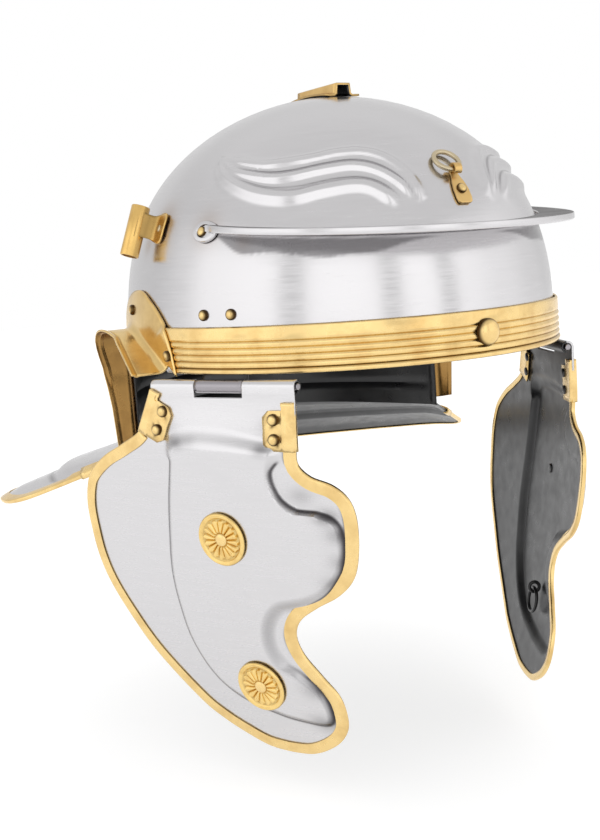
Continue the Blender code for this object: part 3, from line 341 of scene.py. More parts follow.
def steel_finish(name, colour=(0.64, 0.628, 0.638), roughness=0.21, brushing=(60.0, 60.0, 900.0), dents=0.15,
                 stains_and_shade=None, creased=None):
    """Brushed iron: fine level scratches, a slightly uneven surface, and the stains and painted shade that
    its layers give.

    A crease is drawn as a dark line of painted shade where its layer passes one half, as strongly as its
    strength layer says.
    """
    material, shader, tree = new_material(name)
    place = add_node(tree, "TexCoord", {}).outputs["Object"]
    stretched = add_node(tree, "Mapping", {"Vector": place, "Scale": brushing}).outputs["Vector"]
    scratches = noise_from(stretched, 1.0, 4.0, 0.65)
    clouds = noise_from(place, 38.0, 3.0)
    face = toned(scratches, ((0.3, [part * 0.96 for part in colour]), (0.7, colour)))
    for layer, shade in (stains_and_shade or {}).items():
        face = blended(face, layer_amount(tree, layer), shade)
    for layer, shade in (creased or {}).items():
        stops = ((0.5 - crease_spread, (0.0,) * 3), (0.5, (1.0,) * 3), (0.5 + crease_spread, (0.0,) * 3))
        line = toned(layer_amount(tree, layer), stops, "EASE")
        face = blended(face, worked("MULTIPLY", line, layer_amount(tree, layer + "_strength")), shade)
    feed(shader, {
        "Metallic": 1.0,
        "Base Color": face,
        "Roughness": mapped(scratches, 0.3, 0.7, roughness - 0.05, roughness + 0.07),
        "Normal": bumped(scratches, 0.05, 0.0002, over=bumped(clouds, dents, 0.001)),
    })
    return material


def black_paint(name):
    """Satin black paint, brushed on thin enough to follow every dent."""
    material, shader, tree = new_material(name)
    strokes = noise_from(add_node(tree, "TexCoord", {}).outputs["Object"], 140.0, 5.0)
    feed(shader, {
        "Base Color": (0.012, 0.012, 0.013, 1.0),
        "Specular IOR Level": 0.55,
        "Roughness": mapped(strokes, 0.3, 0.7, 0.26, 0.38),
        "Normal": bumped(strokes, 0.07, 0.0004),
    })
    return material


def nape_foot(back):
    """Height at which the nape turns out into the guard, from the ear (0) to the back (1)."""
    return -(nape_drop_side + (nape_drop_back - nape_drop_side) * smooth_share(back))


def guard_flank(share):
    """The guard's outline as a flattened round, from its widest place (0) to the back (1)."""
    angle = math.radians(90.0 * share)
    power = 2.0 / guard_round_power
    return Vector((guard_half_width * max(math.cos(angle), 0.0) ** power,
                   guard_widest_at + (guard_reach - guard_widest_at) * math.sin(angle) ** power,
                   -guard_drop_corner + (guard_drop_corner - guard_drop_back) * math.sin(angle)
                   - guard_sag * math.sin(2.0 * angle)))


ear_front_turn = turn_at(ear_front)
ear_rear_turn = turn_at(ear_rear)
guard_root = bowl_point(ear_rear_turn, nape_foot(0.0))
corner_start = guard_root.lerp(Vector(guard_corner), 0.8)
flank_from = 0.04
corner_end = guard_flank(flank_from)


def corner_curve(share):
    corner = Vector(guard_corner)
    return corner_start.lerp(corner, share).lerp(corner.lerp(corner_end, share), share)


guard_front_edge = smooth_path([guard_root, guard_root.lerp(corner_start, 0.5), corner_start]
                               + [corner_curve(step / 8) for step in range(1, 5)], guard_rows + 1)
guard_outer_edge = smooth_path([corner_curve(0.5 + step / 8) for step in range(5)]
                               + [guard_flank(flank_from + (1.0 - flank_from) * step / 40)
                                  for step in range(1, 41)], back_steps + 1)


def guard_spot(back, row):
    """A point of the guard's top face on the left side, by share round the back and row outwards."""
    out = row / guard_rows
    column = back * back_steps
    turn = ear_rear_turn + (180.0 - ear_rear_turn) * back
    root = bowl_point(turn, nape_foot(back))
    low = min(int(column), back_steps - 1)
    edge = guard_outer_edge[low].lerp(guard_outer_edge[low + 1], column - low)
    spot = root.lerp(edge, out)
    fall = out + (table_value(guard_fall, out) - out) * smooth_share(back * 7.0)
    spot.z = root.z + (edge.z - root.z) * fall
    bend = guard_front_edge[row] - guard_root.lerp(guard_outer_edge[0], out)
    spot += bend * max(0.0, 1.0 - back * 9.0)
    inside = 1.0 - smooth_share((out - guard_step_at + guard_step_half) / (2.0 * guard_step_half))
    rooted = smooth_share(out * 7.0)
    spot.z += guard_step_rise * inside * rooted * smooth_share(back * 14.0)
    return spot


front_turns = rows_between(0.0, brow_turns[0], 10)
front_turns += rows_between(*brow_turns, brow_columns)
front_turns += rows_between(brow_turns[1], ear_front_turn, 14)
skull_columns = [(turn, 0.0, None) for turn in front_turns]
for along, up in smooth_path(ear_arch, ear_steps + 1):
    aft = ear_front + along * (ear_rear - ear_front)
    skull_columns.append((turn_at(aft), max(up, 0.0) * ear_arch_rise, 0.0 if along > 0.9999 else None))
skull_columns += [(ear_rear_turn + (180.0 - ear_rear_turn) * step / back_steps, 0.0, step / back_steps)
                  for step in range(1, back_steps + 1)]
half_columns = len(skull_columns) - 1

crown_share = bowl_share(brow_zone[1])
bowl_levels = [bowl_height * (1.0 - (share * crown_share) ** bowl_round_power) ** (1.0 / bowl_rise_power)
               for share in rows_between(0.0, 1.0, crown_rows)]
bowl_levels += rows_between(brow_zone[1], brow_zone[0], brow_rows)
bowl_levels += rows_between(brow_zone[0], stain_foot, stain_rows)
bowl_levels += [stain_foot * (1.0 - step / side_rows) for step in range(side_rows + 1)]


def skull_spot(column, row):
    """Rows run from the crown down the bowl and the nape, then out over the guard."""
    side = -1.0 if column < half_columns else 1.0
    turn, rim, back = skull_columns[abs(column - half_columns)]
    if row < len(bowl_levels):
        height = rim + (bowl_height - rim) * bowl_levels[row] / bowl_height
        return bowl_point(turn * side, height)
    if back is None:
        return None
    row -= len(bowl_levels) - 1
    if row <= nape_rows:
        foot = nape_foot(back)
        height = foot * row / nape_rows
        rib = sum(math.exp(-((height / foot - at) * abs(foot) / (0.5 * nape_rib_half)) ** 2)
                  for at in nape_rib_places)
        return bowl_point(turn * side, height, nape_rib_rise * rib * smooth_share(back * 5.0))
    return on_side(guard_spot(back, row - nape_rows), side)


def near_line(spots, line):
    """Distance of each spot to a line of points, the share along it, and the height above it."""
    starts = np.array([list(point) for point in line[:-1]])
    runs = np.array([list(point) for point in line[1:]]) - starts
    offsets = spots[:, None, :] - starts[None, :, :]
    shares = np.clip((offsets * runs).sum(2) / (runs * runs).sum(1), 0.0, 1.0)
    gaps = offsets - shares[:, :, None] * runs[None, :, :]
    lengths = np.sqrt((gaps * gaps).sum(2))
    nearest = lengths.argmin(1)
    pick = np.arange(len(spots))
    return lengths[pick, nearest], (nearest + shares[pick, nearest]) / len(runs), gaps[pick, nearest, -1]


def laid_over(spots):
    """Places of some points, with the right side's laid over the left side."""
    return np.array([(abs(spot.x), spot.y, spot.z) for spot in spots])


def ridge_lines(stand=0.0):
    """A line along the top of each brow ridge."""
    return [smooth_path([bowl_point(turn, height / 1000, stand) for turn, height in ridge], 60)
            for ridge in brow_ridges]


def raise_brows(shape):
    """Lifts the skull's skin into the three ridges of each eyebrow."""
    raised = [corner for corner in shape.verts
              if brow_zone[0] < corner.co.z < brow_zone[1] and corner.co.y < 0.03]
    spots = laid_over([corner.co for corner in raised])
    lift = np.zeros(len(raised))
    lines = ridge_lines()
    for line in lines:
        gap, along, above = near_line(spots, line)
        narrow = np.clip(0.35 + along / 0.2, 0.0, 1.0)
        under = brow_foot_side if line is lines[-1] else brow_sharp_side
        reach = np.where(above > 0.0, brow_soft_side, under) * narrow
        ends = np.clip(np.minimum(0.5 + along / 0.05, (1.0 - along) / 0.1), 0.0, 1.0)
        ends = ends * ends * (3.0 - 2.0 * ends)
        lift = np.maximum(lift, brow_rise * ends * (0.6 + 0.4 * narrow) * np.exp(-(gap / reach) ** 2))
    for corner, amount in zip(raised, lift):
        corner.co += bowl_normal(turn_of(corner.co), corner.co.z) * float(amount)
    for _ in range(2):
        bmesh.ops.smooth_vert(shape, verts=raised, factor=0.5, use_axis_x=True, use_axis_y=True,
                              use_axis_z=True)


# Painted shade on the bowl under the peak, deepest half way to its ends
peak_height_front = 0.0518
peak_height_side = 0.0592
peak_end_turn = 68.4
shade_reach = 0.0072
shade_amount = 0.62


def peak_level(share):
    """Height of the peak's underside by share of the way from the middle to its end."""
    return peak_height_front + (peak_height_side - peak_height_front) * share ** 2


def skull_painted_shade(corners):
    """Painted shade along the creases between the brow ridges, under the peak and below the guard's step."""
    spots = laid_over(corners)
    lines = ridge_lines(0.0008)
    dirt_and_shade = np.zeros(len(corners))
    for upper, lower in zip(lines, lines[1:]):
        crease = [first.lerp(last, 0.56) for first, last in zip(upper, lower)]
        gap, along, _ = near_line(spots, crease)
        ends = np.clip(np.minimum((along - 0.1) / 0.15, (0.97 - along) / 0.1), 0.0, 1.0)
        dirt_and_shade = np.maximum(dirt_and_shade, 0.6 * ends * np.exp(-(gap / brow_crease_half) ** 2))
    step = smooth_path([guard_spot(0.02 + 0.98 * count / 20, round((guard_step_at + 0.05) * guard_rows))
                        for count in range(21)], 40)
    gap, along, _ = near_line(spots, step)
    dirt_and_shade = np.maximum(dirt_and_shade, 0.6 * np.clip(along / 0.06, 0.0, 1.0) * np.exp(-(gap / 0.0016) ** 2))
    for count, spot in enumerate(corners):
        turn = turn_of(Vector((abs(spot.x), spot.y, spot.z)))
        share = turn / peak_end_turn
        if share < 1.0 and spot.z > 0.03:
            below = peak_level(share) - spot.z
            ragged = 1.0 + 0.3 * noise.noise(Vector((turn * 0.09, 0.0, 0.0)))
            ragged += 0.08 * noise.noise(Vector((turn, 1.0, 0.0)))
            limit = shade_reach * smooth_share((1.0 - share) / 0.16) * smooth_share((share - 0.08) / 0.4)
            dirt_and_shade[count] = max(dirt_and_shade[count], shade_amount * smooth_share((limit * ragged - below) / 0.0016)
                              * smooth_share((below + 0.001) / 0.001))
    return dirt_and_shade


def skull_tint(corners):
    """Brown heat colour left round the plume tube's tab and the peak's rivets."""
    spots = laid_over(corners)
    tint = np.zeros(len(corners))
    for middle, reach, amount in tinted:
        gap = np.sqrt(((spots - np.array(middle)) ** 2).sum(1))
        tint = np.maximum(tint, amount * np.exp(-(gap / reach) ** 2))
    return tint


# Where heat has coloured the iron: place, reach, amount
tinted = (
    (bowl_point(turn_at(-0.0025, 0.066), 0.066), 0.0085, 0.55),
    (bowl_point(turn_at(0.009, 0.058), 0.058), 0.005, 0.4),
    (bowl_point(69.8, 0.0623), 0.0078, 0.3),
    (bowl_point(58.0, 0.0555), 0.004, 0.2),
)

skull_shape = draped_grid(2 * half_columns, len(bowl_levels) - 1 + nape_rows + guard_rows, skull_spot)
raise_brows(skull_shape)
# The dark line layer is painted shade; the heat tint is the iron's own colour.
skull_steel = steel_finish("skull_steel", stains_and_shade={"heat_tint": (0.30, 0.16, 0.05),
                                                   "painted_shade_line": (0.05, 0.045, 0.05)})
inside_black = black_paint("inside_black")
skull = finish_piece("skull_sheet", skull_shape, [skull_steel, inside_black], "helmet", ["skull"])
corners = [corner.co for corner in skull.data.vertices]
# The skull's dark line is painted shade: in the brow creases, under the peak and under the guard's step.
stain(skull, "painted_shade_line", [float(value) for value in skull_painted_shade(corners)])
stain(skull, "heat_tint", [float(value) for value in skull_tint(corners)])
thicken(skull, skull_wall, inner_material=1, rim_material=1)


# Brow band
# A strip of sheet brass pressed with four ribs between a plain upper strip and a rolled foot.
# It wraps the front of the bowl's rim, and a domed stud marks its middle.
band_height = 0.0203
band_sheet = 0.0009
band_stand = 0.0004
band_rib_rise = 0.0008
band_ribs = 4
band_plain_from = 0.014
band_bead_to = 0.0025
band_foot = 0.0002
band_dirt = ((0.0, 1.0), (0.0025, 1.0), (0.0054, 0.85), (0.0083, 0.65), (0.0111, 0.5), (0.014, 0.4))
band_steps = 220
# The band goes this far under the ear guard, and this many degrees of its ribs are flattened for it
band_overlap = 0.0012
band_flattened = 1.8
band_flattening = 0.85
band_corner = 0.0006
stud_radius = 0.0058
stud_rise = 0.0031
stud_height = 0.0108
stud_stand = 0.0023
# Outer edge of the ear guard's flange, in the same shares as the edge of the ear opening
ear_flange = (
    (-0.175, -0.06), (-0.115, 0.66), (-0.020, 1.20), (0.180, 1.70), (0.430, 2.00), (0.770, 1.78),
    (1.020, 1.10), (1.120, 0.10),
)
flange_leg = ear_flange[-1][0]


def brass_finish(name, colour=(0.86, 0.63, 0.28), shade=(0.50, 0.28, 0.08), roughness=0.24, grime="grime",
                 grain=70.0, dents=0.25):
    """Polished brass: warm patches, fine wear, and brown-black dirt where the grime layer is high."""
    material, shader, tree = new_material(name)
    place = add_node(tree, "TexCoord", {}).outputs["Object"]
    patches = noise_from(place, grain, 6.0, 0.6)
    specks = noise_from(place, 1400.0, 3.0)
    dirt_and_shade = layer_amount(tree, grime)
    spread = worked("ADD", dirt_and_shade, worked("MULTIPLY_ADD", patches, 0.7, -0.35), clamped=True)
    half_shade = [0.5 * (first + last) for first, last in zip(colour, shade)]
    metal = toned(patches, ((0.28, half_shade), (0.55, colour)))
    feed(shader, {
        "Metallic": 1.0,
        "Base Color": blended(metal, worked("MULTIPLY", spread, dirt_and_shade, clamped=True), (0.06, 0.032, 0.012)),
        "Roughness": mapped(patches, 0.25, 0.75, roughness - 0.06, roughness + 0.1),
        "Normal": bumped(specks, 0.08, 0.0002, over=bumped(patches, dents, 0.0005)),
    })
    return material


def flange_aft(height):
    """How far aft the ear guard's front edge lies at a height."""
    edge = [(up * ear_arch_rise, ear_front + along * (ear_rear - ear_front)) for along, up in ear_flange[:5]]
    return table_value(edge, height)


def band_row(height):
    """Stand of the band's outer face at a height, and the grime that lies there."""
    if height > band_plain_from:
        top = smooth_share((band_height - height) / band_corner)
        foot = smooth_share((height - band_plain_from) / band_corner)
        return band_rib_rise * (0.25 + 0.6 * top * foot), 0.5 * (1.0 - foot)
    if height < band_bead_to:
        across = height / band_bead_to
        bead = math.sin(math.pi * min(max(across, 0.0), 1.0)) ** 0.6
        return band_rib_rise * (0.2 + 1.1 * bead), across ** 4
    across = (height - band_bead_to) / (band_plain_from - band_bead_to) * band_ribs % 1.0
    crest = math.sin(math.pi * across)
    grime = max(0.0, 1.0 - 2.4 * crest) * table_value(band_dirt, height)
    return band_rib_rise * (0.05 + 0.95 * crest ** 0.8), grime


band_levels = rows_between(band_height, band_plain_from, 10)
band_levels += rows_between(band_plain_from, band_bead_to, band_ribs * 10)
band_levels += rows_between(band_bead_to, band_foot, 10) + [band_foot]


def band_spot(column, row):
    height = band_levels[row]
    share = 2.0 * column / band_steps - 1.0
    end = turn_at(flange_aft(height) + band_overlap)
    relief = 1.0 - band_flattening * (1.0 - smooth_share((1.0 - abs(share)) * end / band_flattened))
    return bowl_point(end * share, height, band_stand + band_sheet + band_row(height)[0] * relief)


brass_bright = brass_finish("band_brass")
band = finish_piece("band_strip", draped_grid(band_steps, len(band_levels) - 1, band_spot), [brass_bright],
                    "helmet", ["brow_band"], sharp=60)


def band_grime(spot):
    """Dirt in the grooves, with brown smears over the plain strip."""
    smear = smooth_share((noise.noise(Vector((spot.x, spot.y, 2.5 * spot.z)) * 75.0) - 0.12) / 0.4)
    return max(band_row(spot.z)[1], 0.42 * smear * smooth_share((spot.z - 0.012) / 0.003))


stain(band, "grime", [band_grime(corner.co) for corner in band.data.vertices])
thicken(band, band_sheet)


def turned(profile, steps, middle, axis):
    """Spins a profile of (radius, height) round an axis, from its middle outwards."""
    shape = bmesh.new()
    corners = [shape.verts.new((radius, 0.0, height)) for radius, height in profile]
    edges = [shape.edges.new(pair) for pair in zip(corners, corners[1:])]
    bmesh.ops.spin(shape, geom=corners + edges, cent=(0, 0, 0), axis=(0, 0, 1), angle=2 * math.pi,
                   steps=steps, use_merge=True)
    bmesh.ops.remove_doubles(shape, verts=shape.verts, dist=0.000005)
    bmesh.ops.recalc_face_normals(shape, faces=shape.faces)
    turn = Vector(axis).to_track_quat("Z", "Y").to_matrix().to_4x4()
    bmesh.ops.transform(shape, matrix=Matrix.Translation(middle) @ turn, verts=shape.verts)
    return shape


def dome_profile(radius, height, rim=0.0004, steps=9):
    """A rivet's head: a small upright rim under a low dome, closed below."""
    profile = [(0.0, 0.0), (radius, 0.0), (radius, rim)]
    for step in range(1, steps + 1):
        angle = math.radians(90.0 * step / steps)
        profile.append((radius * math.cos(angle), rim + (height - rim) * math.sin(angle)))
    profile[-1] = (0.0, height)
    return profile


def ring_grime(piece, middle, radius, width, amount=1.0):
    """Dirt in the corner round a rivet's or a stud's foot."""
    gaps = [radius - (corner.co - Vector(middle)).length for corner in piece.data.vertices]
    stain(piece, "grime", [amount * smooth_share(1.0 - gap / width) for gap in gaps])


stud_seat = bowl_point(0.0, stud_height, stud_stand)
stud = finish_piece("stud_dome", turned(dome_profile(stud_radius, stud_rise), 48, stud_seat, (0, -1, 0)),
                    [brass_bright], "helmet", ["brow_stud"])
ring_grime(stud, stud_seat, stud_radius, 0.0012)


# Brow peak
# A thick crescent of flat iron stands out over the brow to stop a downward cut. Each end runs
# into a round lug that lies on the bowl under a brass rivet.
peak_reach = 0.0215
peak_strip = 0.0026
peak_thickness = 0.003
peak_taper = 0.6
peak_stand = 0.0004
lug_radius = 0.0049
lug_stretch = 1.42
lug_thickness = 0.0016
lug_height = 0.0607
lug_rivet_radius = 0.0023
lug_rivet_rise = 0.0014
peak_columns = 160


def soften(piece, name, width, segments):
    """Rounds a piece's edges."""
    rounding = piece.modifiers.new(name, "BEVEL")
    rounding.width = width
    rounding.segments = segments
    rounding.limit_method = "ANGLE"


def peak_spot(column, row):
    """The crescent's top face, from the bowl outwards."""
    turn = peak_end_turn * (2.0 * column / peak_columns - 1.0)
    share = abs(turn) / peak_end_turn
    level = peak_level(share) + 0.5 * peak_thickness
    reach = max(peak_strip, peak_reach * max(math.cos(0.5 * math.pi * share), 0.0) ** peak_taper)
    root = bowl_point(turn, level, peak_stand + 0.0003)
    return root + bowl_normal(turn, 0.0) * (reach * row / 5)


peak_brushing = (30.0, 30.0, 1800.0)
peak_steel = steel_finish("peak_steel", roughness=0.24, brushing=peak_brushing, dents=0.1)
# The peak's underside is a near-black steel: painted shade, which the bowl under it reflects as a dark band.
peak_painted_shade_underside = steel_finish("peak_painted_shade_underside", colour=(0.09, 0.082, 0.085), roughness=0.4, brushing=peak_brushing,
                          dents=0.3)
peak = finish_piece("peak_crescent", draped_grid(peak_columns, 5, peak_spot, turned_over=True),
                    [peak_steel, peak_painted_shade_underside], "helmet", ["brow_peak"])
thicken(peak, peak_thickness, inner_material=1)
soften(peak, "Filed edge", 0.0005, 3)
rivet_brass = brass_finish("rivet_brass", grain=180.0, roughness=0.22)


def rivet_head(name, stands_for, seat, way, radius, rise, foot, steps=32, body="helmet"):
    """A domed brass head, with dirt as wide as its foot says round its own foot."""
    head = finish_piece(name, turned(dome_profile(radius, rise), steps, seat, way), [rivet_brass], body,
                        [stands_for])
    ring_grime(head, seat, radius, foot)


sides = (("right", -1.0), ("left", 1.0))
for side_name, side in sides:
    out = bowl_normal(peak_end_turn * side, lug_height)
    seat = bowl_point((peak_end_turn + 0.9) * side, lug_height, peak_stand)
    profile = [(lug_radius * across, lug_thickness * up)
               for across, up in ((0.0, 0.0), (1.0, 0.0), (1.0, 0.5), (0.92, 0.9), (0.8, 1.0), (0.62, 1.0),
                                  (0.52, 0.55), (0.0, 0.55))]
    lug = turned(profile, 48, (0, 0, 0), (0, 0, 1))
    bmesh.ops.scale(lug, vec=(lug_stretch, 1.0, 1.0), verts=lug.verts)
    along = Vector((0, 0, 1)).cross(out).normalized()
    frame_of_lug = Matrix((along, out.cross(along), out)).transposed().to_4x4()
    bmesh.ops.transform(lug, matrix=Matrix.Translation(seat) @ frame_of_lug, verts=lug.verts)
    finish_piece(f"peak_lug_{side_name}", lug, [peak_steel], "helmet")
    rivet_head(f"lug_rivet_{side_name}", f"peak_rivet_{side_name}",
               seat + out * (0.5 * lug_thickness) + along * (side * 0.0016), out,
               lug_rivet_radius, lug_rivet_rise, 0.0008)


# Ear guards
# Sheet brass is raised into a collar that stands out round each ear opening and runs down its
# back edge. A flange lies on the skull under two rivets, and a groove marks off the lip.
ear_sheet = 0.0009
ear_stand = 0.0004
band_clear = 0.0014
# Height of the collar's root, and how far out its rim stands there
ear_reach = ((-0.0405, 0.105), (-0.02, 0.1063), (0.0, 0.109), (0.013, 0.1133), (0.0185, 0.1147))
# The rim stands further out at the front leg's foot, and this runs out along the arch
ear_front_flare = 0.0098
ear_flare_run = 0.028
ear_fillet = 0.0034
ear_lip = 0.0032
ear_groove = 0.00055
ear_columns = 120
ear_leg_foot = -0.0405
ear_rivet_radius = 0.0025
ear_rivet_rise = 0.0018
ear_lip_rows = (
    # share of the way over the lip, share of the groove's depth, dirt
    (0.12, 0.8, 0.6), (0.24, 0.7, 0.45), (0.4, -0.4, 0.0), (0.7, -1.0, 0.0), (0.9, -1.3, 0.0),
    (1.0, -1.4, 0.2),
)
ear_rivets = (
    # place, share of the way along the opening, share of its height, lift off the bowl
    ("front", -0.085, 0.42, band_clear), ("top", 0.62, 1.5, 0.0),
)


def ear_path(table, leg_along):
    """Fore and aft place and height along the arch and then down the nape's front edge."""
    rows = [(ear_front + along * (ear_rear - ear_front), up * ear_arch_rise) for along, up in table]
    leg = ear_front + leg_along * (ear_rear - ear_front)
    rows += [(leg, ear_leg_foot * share) for share in (0.25, 0.5, 0.75, 1.0)]
    return smooth_path(rows, ear_columns + 1)


ear_root_path = ear_path(ear_arch, 1.0)
ear_flange_path = ear_path(ear_flange, flange_leg)


def ear_section(column):
    """The guard's cross-section at one place: flange, fillet, collar, groove and lip."""
    root = ear_root_path[column]
    flange = ear_flange_path[column]
    before = ear_root_path[max(column - 1, 0)]
    after = ear_root_path[min(column + 1, ear_columns)]
    along = (after - before).normalized()
    away = Vector((-along.y, along.x))
    reach = table_value(ear_reach, root.y)
    reach += ear_front_flare * max(0.0, 1.0 - (root.x - ear_front) / ear_flare_run)
    corner = root + away * 0.0006
    fillet_end = corner + away * ear_fillet
    spots = []
    over_band = smooth_share((band_height + 0.002 - flange.y) / 0.003)
    over_band *= smooth_share((flange.y + 0.01) / 0.004)
    if flange.x >= ear_front + 0.02:
        over_band = 0.0
    for step in range(10):
        level = flange.lerp(fillet_end, step / 10)
        stand = ear_stand + ear_sheet + band_clear * over_band * smooth_share(1.0 - step / 9)
        stand -= ear_stand * smooth_share(-level.y / 0.006)
        spots.append((bowl_point(turn_at(level.x, level.y), level.y, stand), 0.0))
    foot = bowl_point(turn_at(corner.x, corner.y), corner.y, ear_stand + ear_sheet).x
    room = max(reach - foot, 0.002)
    fillet_out = min(ear_fillet, 0.45 * room)
    for step in range(8):
        angle = math.radians(90.0 * step / 8)
        level = corner + away * (ear_fillet * (1.0 - math.sin(angle)))
        base = bowl_point(turn_at(level.x, level.y), level.y, ear_stand + ear_sheet).x
        spots.append((Vector((base + fillet_out * (1.0 - math.cos(angle)), level.x, level.y)),
                      0.35 * math.sin(2.0 * angle)))
    start = foot + fillet_out
    lip_from = max(reach - ear_lip, start + 0.3 * (reach - start))
    for step in range(9):
        spots.append((Vector((start + (lip_from - start) * step / 8, corner.x, corner.y)), 0.0))
    for share, sink, dirt_and_shade in ear_lip_rows:
        level = corner - away * (ear_groove * sink * (1.0 - 0.8 * smooth_share(-root.y / 0.012)))
        spots.append((Vector((lip_from + (reach - lip_from) * share, level.x, level.y)), dirt_and_shade))
    return spots


ear_brass = brass_finish("ear_guard_brass", colour=(0.84, 0.60, 0.25), grain=45.0, roughness=0.2, dents=0.3)
ear_inner_brass = brass_finish("ear_guard_inner_brass", colour=(0.36, 0.205, 0.066), shade=(0.07, 0.03, 0.01),
                               roughness=0.24, grime="inner_grime", grain=60.0, dents=0.4)
ear_sections = [ear_section(column) for column in range(ear_columns + 1)]
ear_rows = len(ear_sections[0]) - 1
for side_name, side in sides:
    shape = draped_grid(ear_columns, ear_rows,
                        lambda column, row: on_side(ear_sections[column][row][0], side), side < 0)
    guard = finish_piece(f"ear_collar_{side_name}", shape, [ear_brass, ear_inner_brass], "helmet",
                         [f"ear_guard_{side_name}"])
    stain_by_spot(guard, "grime", [(on_side(spot, side), dirt_and_shade) for section in ear_sections
                                   for spot, dirt_and_shade in section])
    thicken(guard, ear_sheet, inner_material=1)
    for label, along, up, lift in ear_rivets:
        height = up * ear_arch_rise
        turn = turn_at(ear_front + along * (ear_rear - ear_front), height) * side
        rivet_head(f"ear_guard_rivet_{side_name}_{label}", f"ear_rivet_{side_name}_{label}",
                   bowl_point(turn, height, ear_stand + ear_sheet + lift), bowl_normal(turn, height),
                   ear_rivet_radius, ear_rivet_rise, 0.0009)


# Neck guard trim
# A strip of brass folded over the guard's edge, held at each front end by a small folded clip.
edging_sheet = 0.0005
edging_leg = 0.0051
edging_inner_leg = 0.0012
edging_fit = 0.0001
neck_edging_from = 0.42


def folded_strip(edge, inside, outward, thickness, leg=edging_leg, inner_leg=edging_inner_leg,
                 sheet=edging_sheet, fit=edging_fit):
    """The outer face of a strip folded over a sheet's edge: rows go round the fold."""
    last = len(edge) - 1
    half = 0.5 * thickness + fit + sheet
    sections = []
    for count, spot in enumerate(edge):
        along = (edge[min(count + 1, last)] - edge[max(count - 1, 0)]).normalized()
        inward = inside[count] - spot
        inward = (inward - along * inward.dot(along)).normalized()
        up = along.cross(inward).normalized()
        if up.dot(outward[count]) < 0.0:
            up = -up
        middle = spot - up * (0.5 * thickness)
        outline = [(leg, half - 0.35 * sheet), (leg - 0.15 * sheet, half)]
        outline += [(leg * share, half + 0.00012 * math.sin(math.pi * share)) for share in (0.75, 0.5, 0.25)]
        for step in range(7):
            angle = math.radians(90.0 + 30.0 * step)
            outline.append((half * 0.62 * math.cos(angle), half * math.sin(angle)))
        outline += [(inner_leg * share, -half) for share in (0.3, 0.65, 1.0)]
        sections.append([middle + inward * reach + up * rise for reach, rise in outline])
    return sections


def finish_strip(name, sections, materials, body, sheet, stands_for):
    """Makes a folded brass piece of its cross-sections."""
    shape = draped_grid(len(sections) - 1, len(sections[0]) - 1, lambda column, row: sections[column][row])
    bmesh.ops.recalc_face_normals(shape, faces=shape.faces)
    strip = finish_piece(name, shape, materials, body, stands_for)
    thicken(strip, sheet)
    return strip


def keep_clean(piece):
    stain(piece, "grime", [0.0] * len(piece.data.vertices))


edging_brass = brass_finish("edging_brass", grain=60.0, dents=0.3)
neck_edge = []
neck_inside = []
start_row = round(neck_edging_from * guard_rows)
just_inside = 0.6 / back_steps
for row in range(start_row, guard_rows):
    neck_edge.append(guard_spot(0.0, row))
    neck_inside.append(guard_spot(just_inside, row))
for step in range(2 * back_steps + 1):
    back = step / (2 * back_steps)
    neck_edge.append(guard_spot(back, guard_rows))
    neck_inside.append(guard_spot(max(back, just_inside), guard_rows - 3))
edge = [on_side(spot, -1.0) for spot in neck_edge[:-1]] + neck_edge[::-1]
inside = [on_side(spot, -1.0) for spot in neck_inside[:-1]] + neck_inside[::-1]
upwards = Vector((0, 0, 1))
keep_clean(finish_strip("neck_guard_strip", folded_strip(edge, inside, [upwards] * len(edge), skull_wall),
                        [edging_brass], "helmet", edging_sheet, ["neck_edging"]))


# Crest box, hook and ring
# A hat-shaped brass strip on the crown takes the foot of a crest, slid in from the front. The
# crest's tie goes through a wire ring that the curled top of a small riveted plate holds.
crest_front = -0.0195
crest_back = 0.015
crest_height = 0.0053
crest_top_half = 0.004
crest_foot = 0.005
crest_sheet = 0.0009
hook_sheet = 0.001
hook_stand = 0.0004
hook_top = 0.0778
hook_aside = 0.0015
hook_loop_radius = 0.0027
ring_radius = 0.0058
ring_sink = 0.2
ring_lean = 0.22
ring_wire = 0.0011
hook_rivet_at = 0.0705
hook_rivet_radius = 0.0023
hook_rivet_rise = 0.0014

# One side of the hat-shaped strip from its foot to its top: out from the middle, and up
crest_side = (
    (crest_top_half + crest_foot, 0.0016), (crest_top_half + 0.7 * crest_foot, 0.0012),
    (crest_top_half + 0.0012, 0.0012), (crest_top_half + 0.0004, 0.0018),
    (crest_top_half, crest_height - 0.0004), (crest_top_half - 0.0004, crest_height),
)
crest_outline = [(-across, up) for across, up in crest_side] + list(crest_side[::-1])


def bowl_top(across, aft):
    """Height of the bowl over a place near its crown."""
    share = math.hypot(across / bowl_half_width, aft / bowl_half_length)
    return bowl_height * (1.0 - share ** bowl_round_power) ** (1.0 / bowl_rise_power)


def crest_spot(column, row):
    across, up = crest_outline[column]
    aft = crest_back + (crest_front - crest_back) * row / 12
    foot = bowl_top(across, aft) if abs(across) > crest_top_half else bowl_height - 0.0006
    return Vector((across, aft, foot + up))


crest_brass = brass_finish("crest_brass", colour=(0.74, 0.50, 0.20), grain=120.0, roughness=0.32)
crest = finish_piece("crest_slot", draped_grid(len(crest_outline) - 1, 12, crest_spot),
                     [crest_brass, inside_black], "helmet", ["crest_box"])
stain(crest, "grime", [0.5 * smooth_share((abs(corner.co.x) - crest_top_half) / 0.001)
                       for corner in crest.data.vertices])
thicken(crest, crest_sheet, inner_material=1)

